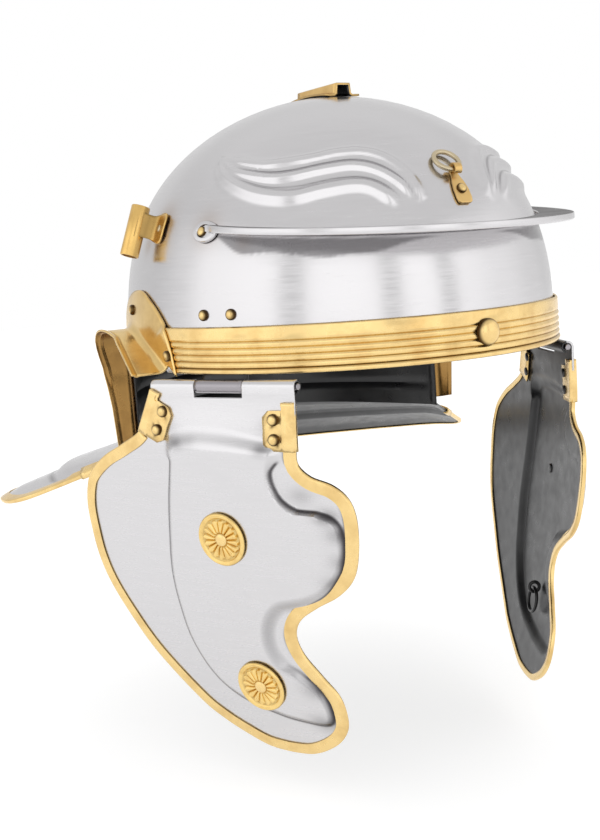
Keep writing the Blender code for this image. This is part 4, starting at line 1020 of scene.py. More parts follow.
hook_levels = ((0.0645, 0.0026), (0.0652, 0.0036), (0.067, 0.004), (0.0705, 0.0039), (0.0735, 0.0032),
               (0.0755, 0.0023), (0.0768, 0.0019))
hook_out = bowl_normal(0.0, hook_top)
hook_climb = Vector((1, 0, 0)).cross(hook_out).normalized()
if hook_climb.z < 0.0:
    hook_climb = -hook_climb
hook_middle = bowl_point(0.0, hook_top, hook_stand + hook_loop_radius)
hook_rows = [(bowl_point(0.0, height, hook_stand), half) for height, half in hook_levels]
for step in range(15):
    angle = math.radians(-90.0 + 19.0 * step)
    curl = hook_climb * (hook_loop_radius * math.cos(angle)) + hook_out * (hook_loop_radius * math.sin(angle))
    hook_rows.append((hook_middle + curl, 0.0018))
hook_shift = Vector((hook_aside, 0.0, 0.0))


def hook_spot(column, row):
    spot, half = hook_rows[row]
    return spot + Vector((half * (column / 3 - 1.0) + hook_aside, 0.0, 0.0))


hook = finish_piece("crest_tie_plate", draped_grid(6, len(hook_rows) - 1, hook_spot), [crest_brass], "helmet",
                    ["crest_hook"])
keep_clean(hook)
thicken(hook, hook_sheet)
soften(hook, "Worn edge", 0.0002, 2)
rivet_head("crest_tie_rivet", "crest_hook_rivet",
           bowl_point(0.0, hook_rivet_at, hook_stand + hook_sheet) + hook_shift,
           bowl_normal(0.0, hook_rivet_at), hook_rivet_radius, hook_rivet_rise, 0.0008)


def wire_ring(middle, first, second, radius, wire, steps=48):
    """A closed ring of round wire, lying along its first and second directions."""
    shape = bmesh.new()
    bmesh.ops.create_circle(shape, cap_ends=False, segments=14, radius=wire)
    bmesh.ops.rotate(shape, cent=(0, 0, 0), matrix=Matrix.Rotation(math.radians(90.0), 3, "X"),
                     verts=shape.verts)
    bmesh.ops.translate(shape, vec=(radius, 0, 0), verts=shape.verts)
    bmesh.ops.spin(shape, geom=shape.verts[:] + shape.edges[:], cent=(0, 0, 0), axis=(0, 0, 1),
                   angle=2 * math.pi, steps=steps, use_merge=True)
    bmesh.ops.remove_doubles(shape, verts=shape.verts, dist=0.000005)
    bmesh.ops.recalc_face_normals(shape, faces=shape.faces)
    third = first.cross(second).normalized()
    turn = Matrix((first, second, third)).transposed().to_4x4()
    bmesh.ops.transform(shape, matrix=Matrix.Translation(middle) @ turn, verts=shape.verts)
    return shape


ring_brass = brass_finish("ring_brass", colour=(0.58, 0.49, 0.33), shade=(0.3, 0.22, 0.12), roughness=0.3)
ring_way = (hook_climb - ring_sink * hook_out - ring_lean * Vector((1, 0, 0))).normalized()
ring_across = ring_way.cross(hook_out).normalized()
ring_shape = wire_ring(hook_middle + hook_shift + ring_way * ring_radius, ring_way, ring_across, ring_radius,
                       ring_wire)
keep_clean(finish_piece("crest_tie_ring", ring_shape, [ring_brass], "helmet", ["crest_ring"]))


# Plume tubes
# Each is a strip of brass rolled into a tube for a feather's quill. The end of the strip is left
# as a rounded tab, bent in to the bowl and riveted there.
plume_radius = 0.0043
plume_wall = 0.0007
plume_length = 0.0235
plume_top = Vector((0.0972, 0.0084, 0.0745))
plume_foot = Vector((0.105, 0.0084, 0.0535))
plume_tab = (
    # aft, stand, half of the height
    (-0.0062, 0.0011, 0.0030), (-0.0058, 0.0009, 0.0050), (-0.0045, 0.0007, 0.0064),
    (-0.0020, 0.0007, 0.0066), (0.0005, 0.0010, 0.0058), (0.0022, 0.0022, 0.0050),
    (0.0033, 0.0042, 0.0048), (0.0039, 0.0068, 0.0049), (0.0041, 0.0092, 0.0052),
)
plume_tab_sheet = 0.0008
plume_tab_stand = 0.0006
plume_rivet_at = -0.0018
plume_rivet_radius = 0.0016
plume_rivet_rise = 0.0007
plume_brass = brass_finish("plume_brass", colour=(0.76, 0.50, 0.17), grain=90.0, roughness=0.28)
for side_name, side in sides:
    flip = Vector((side, 1.0, 1.0))
    axis = (plume_top * flip - plume_foot * flip).normalized()
    middle = (plume_top + plume_foot) * flip * 0.5
    half = 0.5 * plume_length
    bore = plume_radius - plume_wall
    mouth = [(bore, half), (plume_radius - 0.0002, half), (plume_radius, half - 0.0003)]
    profile = [(radius, -up) for radius, up in mouth] + mouth[::-1] + [(bore, -half)]
    tube = finish_piece(f"plume_holder_{side_name}", turned(profile, 64, middle, axis), [plume_brass],
                        "helmet", [f"plume_tube_{side_name}"])
    stain(tube, "grime", [0.6 * smooth_share((0.0046 - abs((corner.co - middle).dot(axis))) / 0.006 - 0.2)
                          if (corner.co - middle).x * side < -0.6 * plume_radius else 0.0
                          for corner in tube.data.vertices])
    tab_path = smooth_path(plume_tab, 25)

    def tab_spot(column, row):
        aft, stand, tall = tab_path[column]
        height = middle.z + tall * (1.0 - row / 6)
        return on_side(bowl_point(turn_at(aft, height), height, stand + plume_tab_stand), side)

    tab = finish_piece(f"plume_tab_{side_name}", draped_grid(24, 12, tab_spot, side < 0), [plume_brass],
                       "helmet")
    stain(tab, "grime", [0.75 * smooth_share((corner.co.y + 0.001) / 0.004) for corner in tab.data.vertices])
    thicken(tab, plume_tab_sheet)
    turn = turn_at(plume_rivet_at, middle.z) * side
    dome = turned(dome_profile(plume_rivet_radius, plume_rivet_rise, rim=0.0002), 24,
                  bowl_point(turn, middle.z, 0.0013), bowl_normal(turn, middle.z))
    keep_clean(finish_piece(f"plume_tab_rivet_{side_name}", dome, [ring_brass], "helmet",
                            [f"plume_rivet_{side_name}"]))


# Cheek hinges
# A steel leaf riveted inside the skull ends in a knuckle round a plain pin. The cheek plate's
# own top is rolled round the pin on each side of it.
hinge_start = Vector((0.0762, -0.083, -0.005))
hinge_yaw = 25.4
roll_radius = 0.003
pin_radius = 0.0014
pin_from = -0.0012
pin_to = 0.0766
knuckle_from = 0.0262
knuckle_to = 0.0515
leaf_sheet = 0.0012
leaf_behind = 0.0008
leaf_top = 0.033
leaf_foot = -0.0008
hinge_rivet_at = 0.0255
hinge_rivet_radius = 0.0025
hinge_rivet_rise = 0.0019
hinge_along = Vector((math.sin(math.radians(hinge_yaw)), math.cos(math.radians(hinge_yaw)), 0.0))
hinge_out = Vector((math.cos(math.radians(hinge_yaw)), -math.sin(math.radians(hinge_yaw)), 0.0))


def hinge_spot(back, down, out, side):
    """A point by its place along the pin, below it and outwards of it."""
    return on_side(hinge_start + hinge_along * back + hinge_out * out + Vector((0, 0, -down)), side)


def round_pin(back, angle, side):
    """A point of the knuckle's or the roll's outer face, by its angle from straight outwards."""
    return hinge_spot(back, -roll_radius * math.sin(angle), roll_radius * math.cos(angle), side)


def turn_beside(back):
    """The turn of the bowl's rim that lies beside a place along the pin."""
    low, high = 20.0, 100.0
    for _ in range(30):
        turn = 0.5 * (low + high)
        if (bowl_point(turn, 0.0) - hinge_start).dot(hinge_along) < back:
            low = turn
        else:
            high = turn
    return 0.5 * (low + high)


# The knuckles and pins are a darker steel: painted shade for the gap under the rim where they sit.
knuckle_shaded_steel = steel_finish("knuckle_shaded_steel", colour=(0.36, 0.34, 0.36), roughness=0.3,
                             brushing=(300.0, 300.0, 900.0))
leaf_levels = rows_between(leaf_top, leaf_foot, 12) + [leaf_foot]
leaf_arc = [math.radians(180.0 + 252.0 * step / 24) for step in range(25)]


def leaf_spot(column, row, side):
    back = knuckle_from + (knuckle_to - knuckle_from) * column / 12
    if row < len(leaf_levels):
        stand = -skull_wall - leaf_behind - leaf_sheet
        return on_side(bowl_point(turn_beside(back), leaf_levels[row], stand), side)
    return round_pin(back, leaf_arc[row - len(leaf_levels)], side)


for side_name, side in sides:
    shape = draped_grid(12, len(leaf_levels) + len(leaf_arc) - 1,
                        lambda column, row: leaf_spot(column, row, side), side > 0)
    out_side = on_side(hinge_out, side)
    for face in shape.faces:
        offset = face.calc_center_median() - hinge_spot(0.0, 0.0, 0.0, side)
        if offset.z > roll_radius or (offset.z > 0.0005 and offset.dot(out_side) < 0.0):
            face.material_index = 1
    leaf = finish_piece(f"hinge_knuckle_{side_name}", shape, [knuckle_shaded_steel, inside_black], "helmet",
                        [f"hinge_leaf_{side_name}"])
    thicken(leaf, leaf_sheet)
    start = hinge_spot(pin_from, 0.0, 0.0, side)
    end = hinge_spot(pin_to, 0.0, 0.0, side)
    length = (end - start).length
    profile = ((0.0, 0.0), (0.8 * pin_radius, 0.0), (pin_radius, 0.0003), (pin_radius, length - 0.0003),
               (0.8 * pin_radius, length), (0.0, length))
    finish_piece(f"hinge_rod_{side_name}", turned(profile, 32, start, end - start), [knuckle_shaded_steel], "helmet",
                 [f"hinge_pin_{side_name}"])
    for label, share in (("front", 0.2), ("rear", 0.8)):
        turn = turn_beside(knuckle_from + (knuckle_to - knuckle_from) * share) * side
        rivet_head(f"skull_rivet_{side_name}_{label}", f"hinge_rivet_{side_name}_{label}",
                   bowl_point(turn, hinge_rivet_at, 0.0), bowl_normal(turn, hinge_rivet_at),
                   hinge_rivet_radius, hinge_rivet_rise, 0.0008)


# Cheek plates
# Each is sheet iron, curved to the jaw, with a raised panel whose outline is creased by hand.
# It is brushed outside, painted black inside, and rolled over the hinge pin at its top.
cheek_sheet = 0.001
cheek_stand = 0.0026
cheek_shoulder = 0.03
cheek_curl_radius = 0.78
cheek_bend_radius = 0.667
cheek_bend_middle = 0.045
cheek_hang = 0.03
panel_rise = 0.003
crease_span = 0.004
edge_shade_half = 0.0007
cheek_across = 170
cheek_down = 240
strap_rows = 10
roll_rows = 22
roll_turn = 262.0
slot_from = knuckle_from - 0.0003
slot_to = knuckle_to + 0.0003
cheek_front_end = -0.0004
cheek_rear_end = 0.0758

# Edge of the plate in millimetres: back from the pin's front end, and down from the pin
cheek_front_edge = (
    (-0.4, 4.5), (-0.3, 8.1), (0.5, 20.0), (1.5, 27.0), (1.1, 33.0), (-4.5, 38.0), (-13.8, 41.2),
    (-19.9, 46.0), (-22.7, 53.0), (-22.8, 63.0), (-20.8, 75.0), (-17.2, 83.0), (-9.7, 90.0), (1.0, 96.0),
    (10.8, 103.0), (14.6, 111.0), (12.5, 120.0), (5.2, 130.0), (-2.0, 140.0), (-3.3, 152.0), (0.2, 160.0),
    (7.4, 166.2), (17.5, 170.8), (29.0, 171.8),
)
cheek_rear_edge = (
    (75.8, 4.5), (76.9, 8.1), (83.8, 20.0), (96.0, 27.0), (109.0, 33.2), (119.5, 41.0), (123.8, 48.0),
    (126.3, 58.0), (126.2, 70.0), (124.8, 83.0), (120.6, 96.0), (112.0, 111.0), (98.5, 130.0),
    (76.5, 152.0), (65.1, 160.0), (53.0, 166.0), (41.0, 170.6), (29.0, 171.8),
)

# Outline of the raised panel in millimetres, how wide its slope is there, and how dark the painted shade on
# its slope is, in thousandths
panel_outline = (
    # back, down, slope, shade
    (13.8, 29.0, 7.0, 8), (15.6, 36.0, 2.4, 30), (14.6, 43.5, 2.4, 35), (10.6, 49.8, 2.4, 40),
    (3.6, 53.8, 2.4, 40),
    (-6.0, 54.6, 2.6, 45), (-13.0, 57.5, 3.0, 50), (-15.2, 64.0, 3.0, 50), (-14.0, 73.5, 3.0, 45),
    (-10.0, 80.5, 3.5, 40), (-2.5, 86.8, 6.0, 30), (6.2, 90.6, 7.0, 30), (21.1, 95.1, 7.0, 35),
    (29.4, 105.2, 7.0, 40), (30.9, 117.7, 7.0, 40), (25.6, 128.0, 7.0, 40), (16.5, 132.6, 6.0, 40),
    (8.2, 138.0, 4.0, 50), (4.4, 146.0, 3.0, 55), (6.0, 151.6, 3.6, 50), (18.0, 151.0, 4.6, 40),
    (30.2, 149.0, 5.0, 35), (48.3, 143.6, 5.0, 32), (60.7, 134.6, 5.0, 32), (69.2, 119.6, 5.0, 32),
    (72.4, 103.3, 5.0, 32), (73.2, 86.1, 5.0, 32), (70.4, 66.2, 5.0, 32), (67.8, 51.3, 5.0, 32),
    (64.2, 34.4, 5.0, 30), (61.4, 27.5, 9.0, 8), (40.0, 27.5, 10.0, 4), (13.8, 29.0, 7.0, 8),
)


def cheek_out(back, down):
    """How far the plate's plain outer face lies outwards of the pin's axis."""
    below = smooth_share(down / cheek_shoulder)
    out = roll_radius + cheek_stand * below
    out -= down ** 2 / (2.0 * cheek_curl_radius) + cheek_hang * down
    return out - below * (back - cheek_bend_middle) ** 2 / (2.0 * cheek_bend_radius)


front_edge = smooth_path([(back / 1000, down / 1000) for back, down in cheek_front_edge], cheek_down + 1)
rear_edge = smooth_path([(back / 1000, down / 1000) for back, down in cheek_rear_edge], cheek_down + 1)
panel_line = smooth_path([[part / 1000 for part in row] for row in panel_outline], 300)


def inside_outline(spots, line):
    """Which spots lie inside a closed line, by counting how often a level ray crosses it."""
    inside = np.zeros(len(spots), dtype=bool)
    for first, last in zip(line, line[1:]):
        crosses = (first[1] > spots[:, 1]) != (last[1] > spots[:, 1])
        rise = last[1] - first[1] if last[1] != first[1] else 1e-12
        at = first[0] + (spots[:, 1] - first[1]) * (last[0] - first[0]) / rise
        inside ^= crosses & (spots[:, 0] < at)
    return inside


def panel_lift(spots):
    """Height of the raised panel at each spot, side of the crease, its strength, and the painted shade on the
    slope.
    """
    flat_line = [(point.x, point.y) for point in panel_line]
    gap, along, _ = near_line(spots, flat_line)
    slope, shade = (np.interp(along * (len(panel_line) - 1), np.arange(len(panel_line)), column)
                    for column in zip(*[(point[2], 10.0 * point[3]) for point in panel_line]))
    across = np.clip(gap / slope, 0.0, 1.0)
    inside = inside_outline(spots, flat_line)
    beyond = np.where(inside, -gap, gap) - 0.7 * slope
    lift = np.where(inside, panel_rise, panel_rise * (1.0 - across * across * (3.0 - 2.0 * across)))
    crease_side = 0.5 + 0.5 * np.clip(beyond / crease_span, -1.0, 1.0)
    crisp = np.clip((0.0068 - slope) / 0.0015, 0.0, 1.0)
    return lift, crease_side, crisp, np.where(inside, 0.0, shade * np.sin(math.pi * across))


def cheek_flat_spot(column, row):
    """Place on the plate in its own flat measure: back along the pin, and down from it."""
    even = front_edge[row].lerp(rear_edge[row], column / cheek_across)
    even.x += (slot_column(column) - even.x) * smooth_share(1.0 - row / strap_rows)
    return even


column_spacing = (cheek_rear_end - cheek_front_end) / cheek_across
slot_first_column = round((slot_from - cheek_front_end) / column_spacing)
slot_last_column = round((slot_to - cheek_front_end) / column_spacing)


def slot_column(column):
    """Place along the pin of a column at the plate's top, with the slot's sides on two of them."""
    return float(np.interp(column, (0, slot_first_column, slot_last_column, cheek_across),
                           (cheek_front_end, slot_from, slot_to, cheek_rear_end)))


plate_spots = np.array([list(cheek_flat_spot(column, row))
                        for row in range(cheek_down + 1) for column in range(cheek_across + 1)])
plate_lift, plate_side, plate_crisp, plate_slope_shade = panel_lift(plate_spots)


def plate_spot(place, side):
    """One of the plate's outer corners, with the panel raised."""
    back, down = plate_spots[place]
    return hinge_spot(back, down, cheek_out(back, down) + plate_lift[place], side)


def cheek_spot(column, row, side):
    """Rows run from the roll's inner end over the pin, then down the plate."""
    if row >= roll_rows:
        return plate_spot((row - roll_rows) * (cheek_across + 1) + column, side)
    if slot_first_column < column < slot_last_column:
        return None
    return round_pin(slot_column(column), math.radians(roll_turn * (1.0 - row / (roll_rows - 1))), side)


# Patches of painted shade and reflection on the plate: at the panel's top corners, by the clips, in the front
# hollows and low at the front
shade_patches = (
    # back, down, reach, amount
    (0.0615, 0.0245, 0.0042, 0.6), (0.0165, 0.0262, 0.0042, 0.55), (0.0545, 0.0235, 0.004, 0.25),
    (-0.0105, 0.0545, 0.005, 0.6), (-0.0165, 0.062, 0.006, 0.45), (-0.0165, 0.074, 0.006, 0.4),
    (-0.011, 0.084, 0.006, 0.35), (0.0065, 0.153, 0.007, 0.5), (0.007, 0.136, 0.007, 0.4),
    (0.001, 0.046, 0.006, 0.3), (0.012, 0.017, 0.006, 0.3), (0.0685, 0.018, 0.006, 0.25),
)


def shade_patch_at(back, down):
    return sum(amount * math.exp(-((back - at_back) ** 2 + (1.6 * (down - at_down)) ** 2) / size ** 2)
               for at_back, at_down, size, amount in shade_patches)


def edge_shade(place):
    """Painted shade along the edging's inner side."""
    row, column = divmod(place, cheek_across + 1)
    if not (0 < column < cheek_across and row > 15):
        return 0.0
    near = min(math.dist(plate_spots[place], edge[row]) for edge in (front_edge, rear_edge))
    return 0.8 * math.exp(-((near - edging_leg) / edge_shade_half) ** 2)


# The plate's dark line, its patches of shade and its crease lines are painted shade.
cheek_steel = steel_finish("cheek_steel", colour=(0.66, 0.65, 0.66), roughness=0.24,
                           brushing=(50.0, 50.0, 900.0),
                           stains_and_shade={"painted_shade_line": (0.05, 0.045, 0.05), "smudge": (0.12, 0.115, 0.12)},
                           creased={"crease": (0.04, 0.036, 0.04)})
plate_layers = {
    "painted_shade_line": [edge_shade(place) for place in range(len(plate_spots))],
    "crease": plate_side,
    "crease_strength": plate_crisp * 0.9,
    "smudge": [min(shade_patch_at(*spot) + shade, 1.0) for spot, shade in zip(plate_spots, plate_slope_shade)],
}
for side_name, side in sides:
    shape = draped_grid(cheek_across, roll_rows + cheek_down,
                        lambda column, row: cheek_spot(column, row, side), side < 0)
    out_side = on_side(hinge_out, side)
    for face in shape.faces:
        offset = face.calc_center_median() - hinge_spot(0.0, 0.0, 0.0, side)
        if offset.z > -1.2 * roll_radius and offset.dot(out_side) < -0.1 * roll_radius:
            face.material_index = 1
    plate = finish_piece(f"cheek_sheet_{side_name}", shape, [cheek_steel, inside_black], f"cheek_{side_name}",
                         [f"cheek_plate_{side_name}"])
    spots = [plate_spot(place, side) for place in range(len(plate_spots))]
    for layer, values in plate_layers.items():
        stain_by_spot(plate, layer, zip(spots, (float(value) for value in values)))
    thicken(plate, cheek_sheet, inner_material=1)


# Cheek edging
# A narrow brass strip folded over the plate's free edge, from one clip round to the other.
cheek_edging_inner_leg = 0.0026
front_edging_top = 0.0255
rear_edging_top = 0.0185


def edge_run(edge, start):
    """The part of an edge below a height, ready to carry the edging."""
    return [spot for spot in edge if spot.y > start]


flat_edge = edge_run(front_edge, front_edging_top)[::2] + edge_run(rear_edge, rear_edging_top)[-2::-2]
flat_inside = []
for count, spot in enumerate(flat_edge):
    along = flat_edge[min(count + 1, len(flat_edge) - 1)] - flat_edge[max(count - 1, 0)]
    flat_inside.append(spot + Vector((along.y, -along.x)).normalized() * 0.004)
for side_name, side in sides:
    edge, inside = ([hinge_spot(spot.x, spot.y, cheek_out(spot.x, spot.y), side) for spot in run]
                    for run in (flat_edge, flat_inside))
    sections = folded_strip(edge, inside, [on_side(hinge_out, side)] * len(edge), cheek_sheet,
                            inner_leg=cheek_edging_inner_leg)
    keep_clean(finish_strip(f"cheek_strip_{side_name}", sections, [edging_brass], f"cheek_{side_name}",
                            edging_sheet, [f"cheek_edging_{side_name}"]))


# Cheek clips
# Each is a short brass strip folded over the plate's edge, with its corners cut off. Two domed
# rivets go through both legs and the plate, and their ends are beaten flat inside.
clip_sheet = 0.0009
clip_face = 0.0004
clip_fold = 0.0046
clip_tab_leg = 0.0048
clip_tab_length = 0.0036
clip_cut = 0.0027
clip_inner_leg = 0.011
clip_rivet_radius = 0.0026
clip_rivet_rise = 0.0019
clip_swell = 0.00035
rivet_end_radius = 0.0022
rivet_end_rise = 0.0009
cheek_clips = {
    # top and bottom of the fold as back and down, length of the leg, the rivets' shares of the way down
    # the clip, and how far in they are
    "front": (Vector((0.0010, 0.0099)), Vector((0.0014, 0.0270)), 0.0142, (0.22, 0.71), 0.0088),
    "rear": (Vector((0.0762, 0.0042)), Vector((0.0836, 0.0200)), 0.0142, (0.16, 0.68), 0.0096),
}


def cheek_way(back, down, side, step=0.001):
    """The outward direction of the plate's plain face."""
    ahead, behind, below, above = (
        hinge_spot(back + aft, down + under, cheek_out(back + aft, down + under), side)
        for aft, under in ((step, 0.0), (-step, 0.0), (0.0, step), (0.0, -step)))
    way = (ahead - behind).cross(below - above).normalized()
    return way if way.dot(on_side(hinge_out, side)) > 0.0 else -way


def clip_frame(label):
    """Where the clip's fold starts, its way down the edge, its way into the plate, and its length."""
    top, bottom = cheek_clips[label][:2]
    run = (bottom - top).normalized()
    inward = Vector((run.y, -run.x)) * (-1.0 if label == "rear" else 1.0)
    return top, run, inward, (bottom - top).length


def clip_sections(label, side):
    """The clip's outer face from its tab down; each section goes from one leg round the fold to the other."""
    top, run, inward, length = clip_frame(label)
    leg_full = cheek_clips[label][2]
    levels = [(-clip_tab_length * (1.0 - step / 3), clip_tab_leg + 0.0002 * math.sin(2.1 * step))
              for step in range(3)]
    levels += [(-0.0002, clip_tab_leg), (0.0, leg_full - clip_cut), (clip_cut, leg_full)]
    levels += [(clip_cut + (length - 2.0 * clip_cut) * step / 6, leg_full + 0.0001 * math.sin(1.7 * step))
               for step in range(1, 6)]
    levels += [(length - clip_cut, leg_full), (length, leg_full - clip_cut)]
    half = 0.5 * cheek_sheet + clip_face + clip_sheet
    sections = []
    for place, leg in levels:
        if leg > clip_fold + 0.001:
            outline = [(clip_fold + (leg - clip_fold) * share, half)
                       for share in (1.0, 0.75, 0.5, 0.25, 0.06)]
        else:
            outline = [(leg * share, half) for share in (1.0, 0.95, 0.9, 0.85, 0.8)]
        folded = half + clip_swell
        outline += [(min(clip_fold, 0.75 * leg) * share, folded) for share in (1.0, 0.66, 0.33, 0.0)]
        for step in range(1, 8):
            angle = math.radians(90.0 + 22.5 * step)
            outline.append((0.0012 * math.cos(angle), folded * math.sin(angle)))
        outline += [(min(leg, clip_inner_leg) * share, -half) for share in (0.1, 0.4, 0.7, 1.0)]
        section = []
        for reach, rise in outline:
            spot = top + run * place + inward * reach
            back, down = top + run * place + inward * max(reach, 0.0)
            stand = cheek_out(back, down) - 0.5 * cheek_sheet + rise
            section.append(hinge_spot(spot.x, spot.y, stand, side))
        sections.append(section)
    return sections


clip_brass = brass_finish("clip_brass", grain=110.0, dents=0.5)
for side_name, side in sides:
    for label in cheek_clips:
        top, run, inward, length = clip_frame(label)
        rivet_shares, rivet_reach = cheek_clips[label][3:]
        body = f"cheek_{side_name}"
        clip = finish_strip(f"cheek_fold_{side_name}_{label}", clip_sections(label, side), [clip_brass], body,
                            clip_sheet, [f"cheek_clip_{side_name}_{label}"])
        seats = []
        for level, share in zip(("top", "bottom"), rivet_shares):
            back, down = top + run * (length * share) + inward * rivet_reach
            way = cheek_way(back, down, side)
            seats.append(hinge_spot(back, down, cheek_out(back, down) + clip_face + clip_sheet, side))
            rivet_head(f"cheek_rivet_{side_name}_{label}_{level}",
                       f"cheek_clip_{side_name}_{label}_rivet_{level}", seats[-1], way, clip_rivet_radius,
                       clip_rivet_rise, 0.0007, 36, body)
            inner = hinge_spot(back, down, cheek_out(back, down) - cheek_sheet - clip_face - clip_sheet, side)
            finish_piece(f"cheek_rivet_end_{side_name}_{label}_{level}",
                         turned(dome_profile(rivet_end_radius, rivet_end_rise), 28, inner, -way),
                         [inside_black], body)
        grime = []
        for corner in clip.data.vertices:
            gaps = [abs((corner.co - seat).length - clip_rivet_radius - 0.0002) for seat in seats]
            grime.append(smooth_share(1.0 - min(gaps) / 0.0009))
        stain(clip, "grime", grime)


# Cheek bosses
# Two pressed brass discs on each cheek plate: a flat rim with a turned-up edge, a ring of sixteen
# round-ended petals, and one domed rivet that holds the disc down.
boss_radius = 0.0123
boss_petals = 16
boss_petal_outer = 0.0092
boss_petal_round = 0.0078
boss_petal_inner = 0.0036
boss_petal_rise = 0.0011
boss_floor = 0.0003
boss_rim = 0.0009
boss_stud_radius = 0.0031
boss_stud_rise = 0.0016
boss_end_radius = 0.0024
boss_end_rise = 0.0008
boss_sheet = 0.0006
boss_stand = 0.0001
boss_spots = (("upper", 0.0419, 0.0669), ("lower", 0.0354, 0.1373))
boss_rings = 40
boss_steps = boss_petals * 12


def boss_height(radius, angle):
    """Height of the disc's face over its seat, and the dirt that lies there."""
    if radius > boss_petal_outer + 0.0005:
        edge = smooth_share((boss_radius - radius) / 0.0005)
        lip = math.exp(-((radius - boss_radius + 0.0009) / 0.0006) ** 2)
        foot = smooth_share((radius - boss_petal_outer - 0.0005) / 0.0006)
        return boss_floor + (boss_rim - boss_floor) * edge * foot + 0.00025 * lip * edge, 0.55 * (1.0 - foot)
    across = (angle * boss_petals / (2.0 * math.pi)) % 1.0 * 2.0 - 1.0
    past = max(0.0, (radius - boss_petal_round) / (boss_petal_outer - boss_petal_round))
    room = math.sqrt(max(0.0, 1.0 - past * past))
    if room < 0.02 or abs(across) >= 0.93 * room:
        return boss_floor, 0.5
    swell = 1.0 - (across / (0.93 * room)) ** 2
    inner = smooth_share((radius - boss_petal_inner + 0.0012) / 0.0016)
    return boss_floor + boss_petal_rise * swell ** 0.6 * inner, max(0.0, 0.45 - 1.2 * swell)


boss_brass = brass_finish("boss_brass", colour=(0.86, 0.62, 0.24), grain=150.0, roughness=0.26, dents=0.15)
for side_name, side in sides:
    for label, back, down in boss_spots:
        body = f"cheek_{side_name}"
        way = cheek_way(back, down, side)
        seat = hinge_spot(back, down, cheek_out(back, down) + panel_rise, side) + way * boss_stand
        aside = way.orthogonal().normalized()
        across = way.cross(aside)
        radii = [boss_radius * (1.0 - step / boss_rings) for step in range(boss_rings + 1)]

        def boss_spot(column, row):
            angle = 2.0 * math.pi * column / boss_steps
            height = boss_height(radii[row], angle)[0]
            spoke = aside * math.cos(angle) + across * math.sin(angle)
            return seat + spoke * radii[row] + way * (height + 0.0005)

        shape = draped_grid(boss_steps, boss_rings, boss_spot, turned_over=True)
        disc = finish_piece(f"cheek_boss_{side_name}_{label}", shape, [boss_brass], body,
                            [f"rosette_{side_name}_{label}"], sharp=50)
        dirt_and_shade = []
        for corner in disc.data.vertices:
            offset = corner.co - seat
            offset -= way * offset.dot(way)
            angle = math.atan2(offset.dot(across), offset.dot(aside))
            near_stud = 0.4 * smooth_share((boss_stud_radius + 0.0012 - offset.length) / 0.001)
            dirt_and_shade.append(max(boss_height(offset.length, angle)[1], near_stud))
        stain(disc, "grime", dirt_and_shade)
        thicken(disc, boss_sheet)
        stud_seat = seat + way * (boss_sheet + 0.0001)
        head = finish_piece(f"cheek_boss_rivet_{side_name}_{label}",
                            turned(dome_profile(boss_stud_radius, boss_stud_rise), 40, stud_seat, way),
                            [rivet_brass], body)
        ring_grime(head, stud_seat, boss_stud_radius, 0.0006, amount=0.4)
        if label == "upper":
            inner = hinge_spot(back, down, cheek_out(back, down) + panel_rise - cheek_sheet, side)
            finish_piece(f"cheek_boss_rivet_end_{side_name}",
                         turned(dome_profile(boss_end_radius, boss_end_rise), 28, inner, -way),
                         [inside_black], body)


# Chin tie rings
# A bent wire eye through each cheek plate holds a ring of black wire for the chin tie.
tie_radius = 0.0062
tie_wire = 0.0009
tie_eye_radius = 0.0026
tie_at = (0.0354, 0.1285)
wire_black, shader, _ = new_material("wire_black")
feed(shader, {"Base Color": (0.01, 0.01, 0.011, 1.0), "Roughness": 0.34})
for side_name, side in sides:
    way = cheek_way(*tie_at, side)
    wall = hinge_spot(*tie_at, cheek_out(*tie_at) + panel_rise - cheek_sheet, side)
    along = on_side(hinge_along, side)
    drop = way.cross(along).normalized()
    if drop.z > 0.0:
        drop = -drop
    eye_middle = wall - way * (0.0004 + tie_eye_radius + tie_wire)
    finish_piece(f"chin_eye_{side_name}", wire_ring(eye_middle, -way, drop, tie_eye_radius, tie_wire, 32),
                 [wire_black], f"cheek_{side_name}", [f"tie_eye_{side_name}"])
    ring_middle = eye_middle + drop * (tie_radius + tie_eye_radius - 2.0 * tie_wire - 0.0003)
    finish_piece(f"chin_ring_{side_name}", wire_ring(ring_middle, drop, along, tie_radius, tie_wire, 44),
                 [wire_black], f"cheek_{side_name}", [f"tie_ring_{side_name}"])


# Neck guard clips
# A narrow folded strip closes each front end of the neck guard's edging.
neck_clip_leg = 0.0062
neck_clip_fit = 0.0005
for side_name, side in sides:
    rows = range(start_row - 3, start_row + 2)
    edge, inside = ([on_side(guard_spot(back, row), side) for row in rows] for back in (0.0, just_inside))
    sections = folded_strip(edge, inside, [upwards] * len(edge), skull_wall, leg=neck_clip_leg,
                            sheet=clip_sheet, fit=neck_clip_fit)
    keep_clean(finish_strip(f"neck_fold_{side_name}", sections, [clip_brass], "helmet", clip_sheet,
                            [f"neck_clip_{side_name}"]))


# Studio
# A plain pale floor under a soft white studio, seen at the photograph's angle.
camera_from = Vector((-0.3243, -0.4957, 0.0528))
camera_azimuth = -31.076
camera_elevation = 8.477
camera_roll = -4.206
camera_lens = 50.43
azimuth = math.radians(camera_azimuth)
elevation = math.radians(camera_elevation)
roll = math.radians(camera_roll)
back_way = Vector((math.sin(azimuth) * math.cos(elevation), -math.cos(azimuth) * math.cos(elevation),
                   math.sin(elevation)))
level_way = Vector((math.cos(azimuth), math.sin(azimuth), 0.0))
up_way = back_way.cross(level_way)
right_way = level_way * math.cos(roll) + up_way * math.sin(roll)
top_way = up_way * math.cos(roll) - level_way * math.sin(roll)
camera = bpy.data.objects.new("camera", bpy.data.cameras.new("camera"))
camera.data.lens = camera_lens
camera.data.sensor_width = 36.0
camera.data.sensor_fit = "AUTO"
camera.data.clip_start = 0.01
facing = Matrix((right_way, top_way, back_way)).transposed().to_4x4()
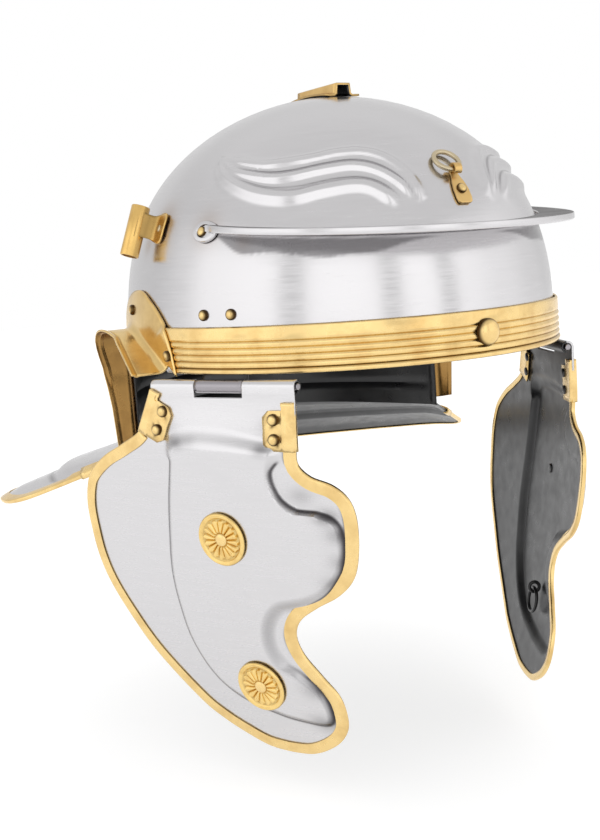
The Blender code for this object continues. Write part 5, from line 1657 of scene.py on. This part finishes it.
camera.matrix_world = Matrix.Translation(camera_from) @ facing
bpy.context.collection.objects.link(camera)
bpy.context.scene.camera = camera

floor_shape = bmesh.new()
bmesh.ops.create_grid(floor_shape, x_segments=1, y_segments=1, size=4.0)
bmesh.ops.translate(floor_shape, vec=(0, 0, cad_box[0][2] - 0.02), verts=floor_shape.verts)
floor_mesh = bpy.data.meshes.new("floor")
floor_shape.to_mesh(floor_mesh)
floor_shape.free()
floor = bpy.data.objects.new("floor", floor_mesh)
bpy.context.collection.objects.link(floor)
floor_white, shader, _ = new_material("floor_white")
feed(shader, {"Base Color": (0.55, 0.55, 0.55, 1.0), "Roughness": 0.9, "Emission Color": (1.0, 1.0, 1.0, 1.0),
              "Emission Strength": 0.62})
floor_mesh.materials.append(floor_white)

bpy.context.scene.view_settings.view_transform = "Standard"
world = bpy.data.worlds.new("studio")
world.use_nodes = True
bpy.context.scene.world = world
tree = world.node_tree


def grey_from(place, tones):
    """Reads a grey from a table of place and tone."""
    return toned(place, [(at, (tone,) * 3) for at, tone in tones], "EASE")


# The white tent by height, from straight below (0) to straight above (1)
tent_tones = ((0.0, 0.8), (0.42, 0.76), (0.55, 0.72), (0.72, 0.76), (0.88, 0.9), (1.0, 0.88))
# The lit walls by height, and how bright they are all round, by degrees from the front
wall_heights = ((0.36, 0.0), (0.44, 1.0), (0.68, 1.0), (0.82, 0.0))
wall_tones = (
    (-180, 0.1), (-150, 0.1), (-128, 0.4), (-116, 0.85), (-76, 1.0), (-71, 0.2), (-63, 0.2), (-58, 1.0),
    (-22, 1.0), (-18, 0.2), (-11, 0.2), (-7, 1.0), (12, 1.0), (16, 0.2), (22, 0.2), (27, 0.9), (60, 0.6),
    (92, 0.3), (110, 0.1), (180, 0.1),
)
wall_brightness = 0.78
around = add_node(tree, "TexCoord", {}).outputs["Generated"]
way = add_node(tree, "SeparateXYZ", {"Vector": around}).outputs
climb = worked("MULTIPLY_ADD", way["Z"], 0.5, 0.5)
bearing = worked("ARCTAN2", way["X"], worked("MULTIPLY", way["Y"], -1.0))
bearing = worked("MULTIPLY_ADD", bearing, 0.5 / math.pi, 0.5)
walls = worked("MULTIPLY", grey_from(climb, wall_heights),
               grey_from(bearing, [((turn + 180) / 360, tone) for turn, tone in wall_tones]))
light = worked("ADD", grey_from(climb, tent_tones), worked("MULTIPLY", walls, wall_brightness))
seen = add_node(tree, "LightPath", {}).outputs["Is Camera Ray"]
feed(tree.nodes["Background"], {"Color": blended(light, seen, (1.0, 1.0, 1.0)), "Strength": 1.0})
